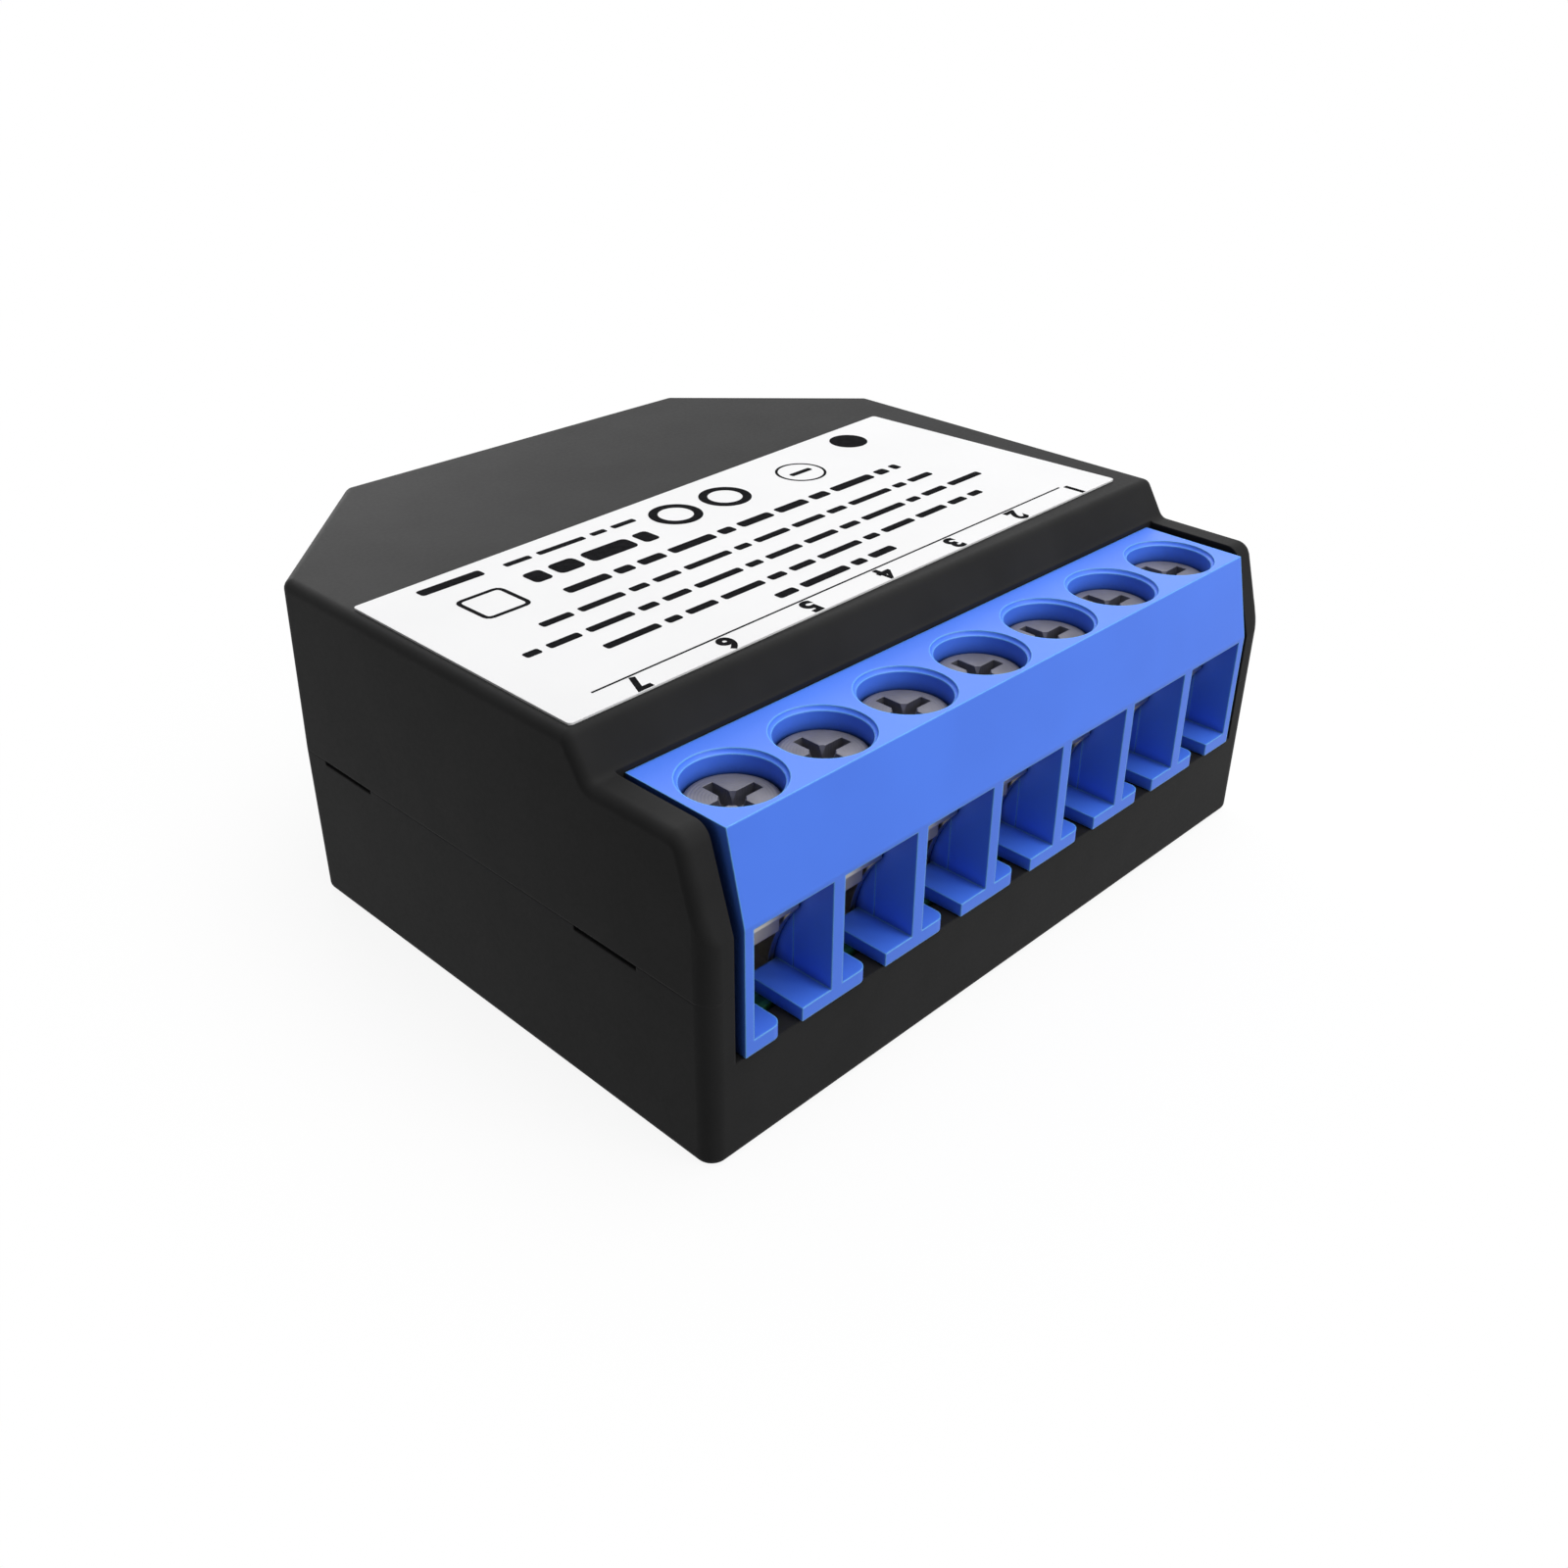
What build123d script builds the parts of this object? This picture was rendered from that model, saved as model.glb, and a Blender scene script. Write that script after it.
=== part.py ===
from build123d import *
import math
import os

os.makedirs("parts", exist_ok=True)

# Two-channel relay module for a wall box. Sizes are in millimetres.
# X runs along the terminal row, -Y is the terminal side, +Z is up.
# The origin is the centre of the overall footprint, on the surface it rests on.

# Housing
wall = 1.4
floor_thickness = 1.4
roof_gap = 0.45
brow_overhang = 0.1
parting_z = 8.1
rear_chamfer = 8.0
chamfer_lean = 2.15
front_corner_round = 0.8
rear_corner_round = 0.6
bottom_round = 0.4
top_round = 0.5
overrun = 0.5

# Terminal bay in the housing
bay_gap = 0.45
block_drop = 0.15
step_depth = 7.46
step_run = 1.1
shoulder_drop = 1.75
cheek_slope_run = 1.3
knee_drop = 6.1
foot_round = 0.5
cheek_round = 0.8
lip_gap = 0.2
sill_gap = 0.05

# Clamshell tongue, latches and pry slots
tongue_thickness = 0.6
tongue_height = 1.0
tongue_clearance = 0.05
latch_width = 3.0
latch_thickness = 0.9
latch_length = 2.2
latch_root = 1.0
latch_catch = 0.35
latch_catch_height = 0.9
latch_clearance = 0.05
latch_room = 1.1
latch_ys = (-6.0, 6.4)
slot_height = 0.22
slot_length = 3.8
slot_depth = 0.8
slot_ys = (-12.0, 6.4)

# Label, stuck on a little askew: gaps to the roof's edges and depths at its two ends
label_thickness = 0.1
label_left_gap = 0.55
label_right_gap_front = 1.75
label_right_gap_rear = 2.8
label_front_gap_left = 0.34
label_front_gap_right = 1.14
label_depth_left = 14.7
label_depth_right = 15.8
label_corner_round = 0.2

# Power board and logic board
ledge_height = 1.85
ledge_width = 0.9
board_thickness = 1.6
board_clearance = 0.25
hole_clearance = 0.1
tail_length = 1.0
logic_board_width = 20.4
logic_board_height = 10.2
logic_board_thickness = 0.8
logic_board_setback = 1.8
rear_bay_depth = 5.3

# Terminal block
pole_count = 7
pole_pitch = 5.0
block_end = 0.15
block_depth = 8.4
brow_slope_run = 0.92
brow_drop = 4.05
brow_edge = 0.2
rebate_depth = 0.9
top_land = 5.49
rib_thickness = 0.65
foot_plate_thickness = 0.65
foot_reach_left = 2.0
foot_reach_right = 1.9
foot_tip_round = 0.5
foot_depth = 3.1
chamber_front = 1.65
chamber_depth = 4.2
chamber_wall = 0.7
block_roof = 0.4

# Terminal screws, thread M2.5
screw_inset = 3.36
well_radius = 2.05
well_rim_radius = 2.2
well_rim_step = 0.05
well_rim_depth = 0.2
head_clearance = 0.06
head_recess = 0.95
shank_radius = 1.25
shank_clearance = 0.08
head_edge_round = 0.25
recess_length = 2.8
recess_width = 0.55
recess_depth = 0.8
recess_centre_radius = 0.55

# Conductor bars
bar_width = 3.2
bar_thickness = 0.9
bar_front = 2.4
bar_length = 4.8
bar_pin_width = 1.2
bar_clearance = 0.05

# Clamp cages
cage_wall = 0.3
cage_top_thickness = 1.2
cage_floor_thickness = 0.5
cage_side_clearance = 0.1
cage_bar_clearance = 0.15
cage_top_lift = 0.35
cage_rest_lift = 0.05
cage_travel = 1.8
cage_end_gap = 0.15
pinch_gap = 0.3

# Relays
relay_width = 9.0
relay_length = 18.0
relay_height = 10.2
relay_gap = 0.8
relay_front_gap = 0.3
relay_wall = 0.5
relay_base_thickness = 1.2
relay_cover_lift = 0.3
relay_base_fit = 0.05
relay_side_round = 0.4
relay_top_round = 0.3
yoke_thickness = 0.7
yoke_width = 6.0
yoke_height = 6.5
yoke_inset = 0.3
coil_centre_lift = 4.0
core_radius = 1.3
pole_radius = 1.9
pole_thickness = 0.25
bobbin_length = 8.95
bobbin_flange = 0.6
bobbin_half_side = 3.15
bobbin_hub_wall = 0.35
bobbin_fit = 0.05
winding_radius = 3.0
winding_fit = 0.02
armature_gap = 0.22
armature_thickness = 0.7
armature_width = 5.6
armature_lift = 0.1
armature_height = 6.05
spring_thickness = 0.2
spring_width = 2.4
spring_start = 1.15
spring_height = 6.35
contact_radius = 0.5
moving_contact_length = 0.4
fixed_contact_length = 0.27
contact_gap = 0.3
contact_lift = 6.95
blade_thickness = 0.3
blade_height = 1.0
blade_reach = 1.0
blade_side_gap = 0.15
blade_leg_width = 1.0
relay_pin_width = 0.6
coil_pin_radius = 0.25
coil_pin_side = 3.5
coil_pin_rise = 2.65

# Transformer: its place from the front corner of the bay beside the relays
transformer_place = (3.9, 12.6)
core_width = 7.0
core_height = 8.2
core_depth = 3.2
core_lift = 1.05
core_back = 0.9
core_leg = 2.2
core_limb = 0.9
former_wall = 0.35
former_fit = 0.05
former_flange = 0.5
former_depth = 6.4
former_rail_width = 6.8
former_peg_radius = 0.3
former_peg_spacing = 2.5
transformer_winding_side = 0.15
transformer_winding_corner = 0.8

# Parts in the bays beside the relays: places from the bay's front corner at the relay
side_bay_width = 7.6
column_gap = 0.25
input_capacitor_radius = 3.15
input_capacitor_height = 9.6
input_capacitor_side = 3.75
capacitor_groove_depth = 0.25
capacitor_groove_height = 0.6
capacitor_groove_lift = 1.0
capacitor_edge_round = 0.4
fuse_radius = 1.6
fuse_length = 6.6
fuse_place = (5.75, 4.7)
varistor_radius = 3.5
varistor_thickness = 3.0
varistor_place = (2.0, 4.4)
varistor_edge_round = 0.8
varistor_lead_spacing = 5.0
shunt_size = (3.2, 6.3, 0.7)
shunt_places = ((2.5, 3.7), (5.9, 3.7))
shunt_cap_length = 1.0
shunt_body_relief = 0.1
axial_lead_radius = 0.3
axial_lead_reach = 0.8

# Parts in the bay behind the relays: x from the middle, y from the logic board's front
output_capacitor_radius = 2.0
output_capacitor_height = 7.0
output_capacitor_places = ((9.3, -2.8), (13.4, -3.8))
inductor_radius = 1.5
inductor_length = 4.6
inductor_place = (-5.6, -3.5)
rectifier_size = (4.6, 3.6, 2.3)
rectifier_side = 12.1
rectifier_side_gap = 0.4
rectifier_rear_gap = 2.0
converter_size = (3.9, 4.4, 1.4)
converter_place = (1.0, -2.65)
converter_leads = 4
diode_size = (2.2, 3.2, 1.6)
diode_place = (5.6, -2.65)
chip_chamfer = 0.2
lead_width = 0.4
lead_thickness = 0.2
lead_reach = 0.9
lead_pitch = 1.1

# Parts on the logic board
radio_chip_size = (5.0, 5.0, 0.9)
radio_chip_place = (-2.6, 6.2)
flash_chip_size = (3.9, 4.9, 1.4)
flash_chip_place = (-7.9, 7.2)
crystal_size = (2.5, 2.0, 0.6)
crystal_place = (1.9, 4.2)
antenna_place = (6.6, 6.9)
antenna_width = 0.5
antenna_thickness = 0.05
antenna_length = 4.5
antenna_spacing = 1.0
antenna_turns = 5
led_size = (1.6, 0.8, 0.6)
led_place = (-3.6, 7.6)
led_dome_share = 0.5

# Link pins between the boards
link_count = 5
link_pitch = 1.27
link_first_x = -9.1
link_side = 0.5
link_setback = 0.7
link_rise = 1.4

# Reset switch and button
switch_place = (-7.5, 5.65)
switch_side = 3.2
switch_back = 0.3
switch_front = 0.4
switch_bore = 1.25
button_fit = 0.05
button_flange_thickness = 0.3
button_radius = 0.8
button_setback = 0.4
button_travel = 0.3
button_end_gap = 0.3
button_edge_round = 0.15
button_hole_gap = 0.3

# Programming socket
socket_place = (3.4, 5.65)
socket_pins = 6
socket_pitch = 1.27
socket_end = 0.9
socket_height = 2.2
socket_setback = 0.7
socket_bore = 0.35
socket_bore_depth = 1.6
socket_window_gap = 0.2

# Hold-down posts under the roof of the housing
post_radius = 0.9
post_side = 12.2
post_setback = 3.4
post_gap = 0.1

# Sizes that follow from what the housing holds
relay_span = 2 * relay_width + relay_gap
bay_half = max(
    pole_count * pole_pitch / 2 + block_end + bay_gap,
    relay_span / 2 + side_bay_width + latch_room,
)
half_width = bay_half + wall
body_width = 2 * half_width
fuse_reach = fuse_length / 2 + axial_lead_reach
input_capacitor_back = (
    fuse_place[1] + fuse_reach + axial_lead_radius + column_gap + input_capacitor_radius
)
rectifier_half = rectifier_size[1] / 2 + lead_reach
rectifier_back = input_capacitor_back + input_capacitor_radius + column_gap + rectifier_half
inside_depth = max(
    relay_length + rear_bay_depth,
    rectifier_back + rectifier_half + rectifier_rear_gap,
)
overall_depth = (
    block_depth
    + relay_front_gap
    + inside_depth
    + logic_board_thickness
    + logic_board_setback
    + wall
)
tallest_part = max(
    relay_height,
    logic_board_height,
    input_capacitor_height,
    output_capacitor_height,
    core_lift + core_height,
    2 * varistor_radius,
)

# Planes and levels that the pieces share
front_y = -overall_depth / 2 + brow_overhang
rear_y = overall_depth / 2
inner_rear_y = rear_y - wall
board_bottom_z = floor_thickness + ledge_height
board_top_z = board_bottom_z + board_thickness
tail_z = board_bottom_z - tail_length
ceiling_z = board_top_z + tallest_part + roof_gap
top_z = ceiling_z + wall
step_top_y = front_y + step_depth
step_foot_y = step_top_y - step_run
shoulder_z = top_z - shoulder_drop
cheek_corner_y = front_y + cheek_slope_run
knee_z = top_z - knee_drop

block_half = bay_half - bay_gap
block_front_y = -overall_depth / 2
block_rear_y = block_front_y + block_depth
block_top_z = shoulder_z - block_drop
block_edge_y = block_front_y + brow_slope_run
block_back_edge_y = block_edge_y + top_land
brow_z = block_top_z - brow_drop
channel_top_z = brow_z - brow_edge
foot_top_z = board_top_z + foot_plate_thickness
foot_rear_y = block_front_y + foot_depth
lip_rear_y = step_foot_y + wall
lip_bottom_z = block_top_z - rebate_depth + lip_gap
channel_half = (pole_pitch - rib_thickness) / 2
chamber_half = (pole_pitch - chamber_wall) / 2
chamber_front_y = block_front_y + chamber_front
chamber_rear_y = chamber_front_y + chamber_depth
pole_xs = [(n - (pole_count - 1) / 2) * pole_pitch for n in range(pole_count)]

# The clamp cage's travel sets the levels of the bar and of the screw's seat
cage_half = chamber_half - cage_side_clearance
cage_low_z = board_top_z + cage_rest_lift
cage_floor_z = cage_low_z + cage_floor_thickness
bar_bottom_z = cage_floor_z + cage_travel + pinch_gap
bar_top_z = bar_bottom_z + bar_thickness
bar_front_y = block_front_y + bar_front
bar_rear_y = bar_front_y + bar_length
pin_y = bar_rear_y - bar_thickness / 2
cage_roof_z = bar_top_z + cage_top_lift
cage_high_z = cage_roof_z + cage_top_thickness
cage_front_y = chamber_front_y + cage_side_clearance
cage_rear_y = chamber_rear_y - cage_side_clearance
cage_mouth_y = foot_rear_y + cage_side_clearance
chamber_top_z = cage_high_z + cage_travel + cage_end_gap
seat_z = chamber_top_z + block_roof
screw_y = block_front_y + screw_inset
screw_tip_z = bar_top_z + bar_clearance
head_radius = well_radius - head_clearance
head_top_z = block_top_z - head_recess

relay_xs = (-(relay_width + relay_gap) / 2, (relay_width + relay_gap) / 2)
relay_front_y = block_rear_y + relay_front_gap
relay_rear_y = relay_front_y + relay_length
relay_base_z = board_top_z + relay_base_thickness
yoke_front_y = relay_front_y + relay_wall + yoke_inset
coil_z = relay_base_z + coil_centre_lift
yoke_top_z = relay_base_z + yoke_thickness
bobbin_front_y = yoke_front_y + yoke_thickness + bobbin_fit
bobbin_rear_y = bobbin_front_y + bobbin_length
pole_face_y = bobbin_rear_y + bobbin_fit + pole_thickness
armature_front_y = pole_face_y + armature_gap
armature_rear_y = armature_front_y + armature_thickness
armature_bottom_z = yoke_top_z + armature_lift
contact_z = armature_bottom_z + contact_lift
fixed_contact_y = armature_rear_y - moving_contact_length - contact_gap
blade_y = fixed_contact_y - fixed_contact_length - blade_thickness
blade_x = relay_width / 2 - relay_wall - blade_side_gap - blade_thickness
coil_pin_y = bobbin_front_y + coil_pin_radius

logic_rear_y = inner_rear_y - logic_board_setback
logic_front_y = logic_rear_y - logic_board_thickness
link_y = logic_front_y - link_setback
link_xs = [link_first_x + n * link_pitch for n in range(link_count)]
link_z = board_top_z + link_rise

switch_depth = (
    switch_back
    + button_end_gap
    + button_travel
    + button_flange_thickness
    + button_fit
    + switch_front
)
button_hole_radius = button_radius + button_hole_gap
button_tip_y = rear_y - button_setback
socket_width = (socket_pins - 1) * socket_pitch + 2 * socket_end
socket_rear_y = rear_y - socket_setback


def beside_relays(side, place):
    """A place in the bay at one side of the relays, from the bay's front corner."""
    return side * (relay_span / 2 + place[0]), relay_front_y + place[1]


def behind_relays(place):
    """A place in the bay between the relays and the logic board."""
    return place[0], logic_front_y + place[1]


def hole_round(width, depth):
    """Radius of the board hole that clears a rectangular pin."""
    return math.hypot(width, depth) / 2 + hole_clearance


transformer_centre = beside_relays(1, transformer_place)
shunt_centres = [beside_relays(1, place) for place in shunt_places]
input_capacitor_centre = beside_relays(-1, (input_capacitor_side, input_capacitor_back))
fuse_centre = beside_relays(-1, fuse_place)
varistor_centre = beside_relays(-1, varistor_place)
inductor_centre = behind_relays(inductor_place)
rectifier_x = -max(rectifier_side, relay_span / 2 + rectifier_side_gap + rectifier_size[0] / 2)
rectifier_centre = (rectifier_x, relay_front_y + rectifier_back)
converter_centre = behind_relays(converter_place)
diode_centre = behind_relays(diode_place)
output_capacitor_centres = [behind_relays(place) for place in output_capacitor_places]


def plan_points(inset):
    """Corners of the housing's plan at the parting, its walls moved in by inset."""
    side = half_width - inset
    rear = rear_y - inset
    cut = rear_chamfer - inset * (2 - math.sqrt(2))
    return [
        (-side, front_y + inset),
        (side, front_y + inset),
        (side, rear - cut),
        (side - cut, rear),
        (-side + cut, rear),
        (-side, rear - cut),
    ]


def housing_plan(level, inset, front_limit=None):
    """The plan as a face at a level; a front limit cuts off what lies before it."""
    with BuildSketch(Plane.XY.offset(level)) as plan:
        Polygon(*plan_points(inset), align=None)
        if front_limit is not None:
            spare_depth = front_limit - front_y + overrun
            with Locations((0, front_limit - spare_depth / 2)):
                Rectangle(body_width, spare_depth, mode=Mode.SUBTRACT)
    return plan.sketch


def upright_edges(shell):
    """Edges of a plain housing block that run up its corners, the front ones first."""
    return shell.edges().filter_by(lambda edge: edge.bounding_box().size.Z > wall).sort_by(Axis.Y)


def block_between(low, high, mode=Mode.ADD):
    """A box between two opposite corners."""
    middle = [(a + b) / 2 for a, b in zip(low, high)]
    with Locations(tuple(middle)):
        Box(*[b - a for a, b in zip(low, high)], mode=mode)


def upright(x, y, radius, low_z, high_z, mode=Mode.ADD):
    """A vertical cylinder between two levels."""
    with Locations((x, y, (low_z + high_z) / 2)):
        Cylinder(radius, high_z - low_z, mode=mode)


def level_rod(x, z, radius, low_y, high_y, mode=Mode.ADD):
    """A cylinder along Y between two depths."""
    with Locations((x, (low_y + high_y) / 2, z)):
        Cylinder(radius, high_y - low_y, rotation=(90, 0, 0), mode=mode)


def leaning_block(low_y, high_z, inset):
    """The upper housing's bulk with its walls moved in by inset; its rear chamfers lean inwards."""
    slant = math.radians(chamfer_lean)
    side = half_width - inset
    with BuildPart() as block:
        block_between((-side, low_y, parting_z), (side, rear_y - inset, high_z))
        for turn in (45, 135):
            outward = Vector(math.cos(math.radians(turn)), math.sin(math.radians(turn)), 0)
            normal = outward * math.cos(slant) + Vector(0, 0, math.sin(slant))
            middle_x = math.copysign(half_width - rear_chamfer / 2, outward.X)
            middle = Vector(middle_x, rear_y - rear_chamfer / 2, parting_z)
            split(bisect_by=Plane(middle - normal * inset, z_dir=normal), keep=Keep.BOTTOM)
    return block.part


# Lower shell: tray with the board ledge, the front sill, the tongue and the latch pockets
with BuildPart() as lower_shell:
    extrude(housing_plan(0, 0), amount=parting_z)
    fillet(upright_edges(lower_shell)[2:], rear_corner_round)
    fillet(upright_edges(lower_shell)[:2], front_corner_round)
    fillet(lower_shell.faces().sort_by(Axis.Z)[0].edges(), bottom_round)
    extrude(
        housing_plan(floor_thickness, wall + ledge_width),
        amount=parting_z,
        mode=Mode.SUBTRACT,
    )
    extrude(housing_plan(board_bottom_z, wall), amount=parting_z, mode=Mode.SUBTRACT)
    block_between(
        (-bay_half, front_y - overrun, board_top_z - sill_gap),
        (bay_half, lip_rear_y, parting_z + overrun),
        mode=Mode.SUBTRACT,
    )
    tongue_front_y = block_rear_y + tongue_thickness
    with BuildSketch(Plane.XY.offset(parting_z)):
        add(housing_plan(0, wall - tongue_thickness, tongue_front_y))
        add(housing_plan(0, wall, block_rear_y), mode=Mode.SUBTRACT)
        with Locations(*[(0, y) for y in latch_ys]):
            Rectangle(body_width, latch_width + 2 * tongue_thickness, mode=Mode.SUBTRACT)
    extrude(amount=tongue_height)
    for side in (-1, 1):
        with Locations(*[(side * half_width, y, parting_z) for y in slot_ys]):
            Box(
                2 * slot_depth,
                slot_length,
                slot_height,
                align=(Align.CENTER, Align.CENTER, Align.MAX),
                mode=Mode.SUBTRACT,
            )
        latch_bottom_z = parting_z - latch_length
        with Locations(*[(side * bay_half, y, latch_bottom_z) for y in latch_ys]):
            Box(
                2 * (latch_catch + latch_clearance),
                latch_width + 2 * latch_clearance,
                latch_catch_height + 2 * latch_clearance,
                align=(Align.CENTER, Align.CENTER, Align.MIN),
                mode=Mode.SUBTRACT,
            )
lower_shell.part.label = "lower_shell"
export_step(lower_shell.part, "parts/lower_shell.step")

# Upper shell: walls, roof, step, cheeks, latches and hold-down posts
outer_bulk = leaning_block(front_y, top_z, 0)
inner_bulk = leaning_block(lip_rear_y, ceiling_z, wall)
with BuildPart() as upper_shell:
    add(outer_bulk)
    fillet(upright_edges(upper_shell)[2:], rear_corner_round)
    fillet(upright_edges(upper_shell)[:2], front_corner_round)
    with BuildSketch(Plane.YZ):
        with BuildLine():
            FilletPolyline(
                (step_top_y, top_z),
                (step_foot_y, shoulder_z),
                (cheek_corner_y, shoulder_z),
                (front_y, knee_z),
                radius=[foot_round, cheek_round],
            )
            Polyline(
                (front_y, knee_z),
                (front_y - overrun, knee_z),
                (front_y - overrun, top_z + overrun),
                (step_top_y, top_z + overrun),
                (step_top_y, top_z),
            )
        make_face()
    extrude(amount=body_width, both=True, mode=Mode.SUBTRACT)
    top_edges = upper_shell.faces().sort_by(Axis.Z)[-1].edges()
    cheek_edges = (
        upper_shell.edges()
        .filter_by(lambda edge: abs(edge.center().X) > bay_half)
        .filter_by(lambda edge: edge.center().Y < step_top_y)
        .filter_by(lambda edge: edge.center().Z > knee_z + cheek_round)
    )
    fillet(top_edges + cheek_edges, top_round)
    add(inner_bulk, mode=Mode.SUBTRACT)
    block_between(
        (-bay_half, front_y - overrun, parting_z - overrun),
        (bay_half, lip_rear_y + overrun, lip_bottom_z),
        mode=Mode.SUBTRACT,
    )
    block_between(
        (-bay_half, front_y - overrun, lip_bottom_z - overrun),
        (bay_half, step_foot_y, shoulder_z + foot_round + overrun),
        mode=Mode.SUBTRACT,
    )
    rebate_inset = wall - tongue_thickness - tongue_clearance
    extrude(
        housing_plan(parting_z, rebate_inset, tongue_front_y - tongue_clearance),
        amount=tongue_height + tongue_clearance,
        mode=Mode.SUBTRACT,
    )
    # Latches hang from the side walls and catch in the lower shell's pockets
    latch_face_x = bay_half - latch_clearance
    latch_root_z = parting_z + tongue_height + tongue_clearance + latch_root
    catch_z = parting_z - latch_length + latch_clearance
    for side in (-1, 1):
        for latch_y in latch_ys:
            latch_plane = Plane((0, latch_y, 0), x_dir=(side, 0, 0), z_dir=(0, -side, 0))
            with BuildSketch(latch_plane):
                with BuildLine():
                    Polyline(
                        (latch_face_x - latch_thickness, latch_root_z),
                        (latch_face_x - latch_thickness, catch_z),
                        (latch_face_x, catch_z),
                        (latch_face_x + latch_catch, catch_z + latch_catch_height - latch_clearance),
                        (latch_face_x, catch_z + latch_catch_height),
                        (latch_face_x, latch_root_z - latch_root),
                        (latch_face_x + tongue_thickness, latch_root_z - latch_root),
                        (latch_face_x + tongue_thickness, latch_root_z),
                        close=True,
                    )
                make_face()
            extrude(amount=latch_width / 2, both=True)
    for post_x in (-post_side, post_side):
        post_low_z = board_top_z + post_gap
        upright(post_x, inner_rear_y - post_setback, post_radius, post_low_z, ceiling_z + overrun)
    button_z = board_top_z + switch_place[1]
    socket_z = board_top_z + socket_place[1]
    level_rod(
        switch_place[0],
        button_z,
        button_hole_radius,
        logic_rear_y,
        rear_y + overrun,
        mode=Mode.SUBTRACT,
    )
    window_half = (socket_width / 2 + socket_window_gap, socket_height / 2 + socket_window_gap)
    block_between(
        (socket_place[0] - window_half[0], logic_rear_y, socket_z - window_half[1]),
        (socket_place[0] + window_half[0], rear_y + overrun, socket_z + window_half[1]),
        mode=Mode.SUBTRACT,
    )
upper_shell.part.label = "upper_shell"
export_step(upper_shell.part, "parts/upper_shell.step")

# Label: a thin sheet stuck a little askew on the roof
label_corners = [
    (-half_width + label_left_gap, step_top_y + label_front_gap_left),
    (half_width - label_right_gap_front, step_top_y + label_front_gap_right),
    (half_width - label_right_gap_rear, step_top_y + label_front_gap_right + label_depth_right),
    (-half_width + label_left_gap, step_top_y + label_front_gap_left + label_depth_left),
]
with BuildPart() as label:
    with BuildSketch(Plane.XY.offset(top_z)):
        Polygon(*label_corners, align=None)
    extrude(amount=label_thickness)
    fillet(label.edges().filter_by(Axis.Z), label_corner_round)
label.part.label = "label"
export_step(label.part, "parts/label.step")

# Terminal block: one moulding with seven poles
with BuildPart() as terminal_block:
    with BuildSketch(Plane.YZ):
        with BuildLine():
            Polyline(
                (block_front_y, board_top_z),
                (block_rear_y, board_top_z),
                (block_rear_y, block_top_z - rebate_depth),
                (block_back_edge_y, block_top_z - rebate_depth),
                (block_back_edge_y, block_top_z),
                (block_edge_y, block_top_z),
                (block_front_y, brow_z),
                close=True,
            )
        make_face()
    extrude(amount=block_half, both=True)
    # Screw wells, each with a rounded and stepped rim
    for pole_x in pole_xs:
        with BuildSketch(Plane((pole_x, screw_y, 0), x_dir=(1, 0, 0), z_dir=(0, -1, 0))):
            with BuildLine():
                Polyline(
                    (well_radius, block_top_z - well_rim_depth),
                    (well_radius, seat_z),
                    (shank_radius + shank_clearance, seat_z),
                    (shank_radius + shank_clearance, chamber_top_z - overrun),
                    (0, chamber_top_z - overrun),
                    (0, block_top_z + overrun),
                    (well_rim_radius, block_top_z + overrun),
                    (well_rim_radius, block_top_z - well_rim_step),
                )
                RadiusArc(
                    (well_rim_radius, block_top_z - well_rim_step),
                    (well_radius, block_top_z - well_rim_depth),
                    well_rim_depth,
                )
            make_face()
        revolve(axis=Axis((pole_x, screw_y, 0), (0, 0, 1)), mode=Mode.SUBTRACT)
        # Wire channel in front, then the chamber of the cage behind it
        block_between(
            (pole_x - channel_half, block_front_y - overrun, foot_top_z),
            (pole_x + channel_half, chamber_front_y + overrun, channel_top_z),
            mode=Mode.SUBTRACT,
        )
        block_between(
            (pole_x - chamber_half, chamber_front_y, foot_top_z),
            (pole_x + chamber_half, chamber_rear_y, chamber_top_z),
            mode=Mode.SUBTRACT,
        )
        block_between(
            (pole_x - chamber_half, foot_rear_y, board_top_z - overrun),
            (pole_x + chamber_half, chamber_rear_y, foot_top_z + overrun),
            mode=Mode.SUBTRACT,
        )
        # Room for the conductor bar and its leg
        block_between(
            (pole_x - bar_width / 2 - bar_clearance, chamber_rear_y - overrun, board_top_z - overrun),
            (pole_x + bar_width / 2 + bar_clearance, bar_rear_y + bar_clearance, bar_top_z + bar_clearance),
            mode=Mode.SUBTRACT,
        )
        # Slit that parts the foot plates of two neighbouring ribs
        slit_low_x = pole_x - pole_pitch / 2 + foot_reach_right
        slit_high_x = pole_x + pole_pitch / 2 - foot_reach_left
        with BuildSketch(Plane.XY.offset(board_top_z - overrun)):
            with BuildLine():
                Polyline(
                    (slit_low_x, block_front_y + foot_tip_round),
                    (slit_low_x, foot_rear_y + overrun),
                    (slit_high_x, foot_rear_y + overrun),
                    (slit_high_x, block_front_y - overrun),
                    (slit_low_x - foot_tip_round, block_front_y - overrun),
                    (slit_low_x - foot_tip_round, block_front_y),
                )
                tip_centre = (slit_low_x - foot_tip_round, block_front_y + foot_tip_round)
                CenterArc(tip_centre, foot_tip_round, -90, 90)
            make_face()
        extrude(amount=foot_plate_thickness + 2 * overrun, mode=Mode.SUBTRACT)
terminal_block.part.label = "terminal_block"
export_step(terminal_block.part, "parts/terminal_block.step")

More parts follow.
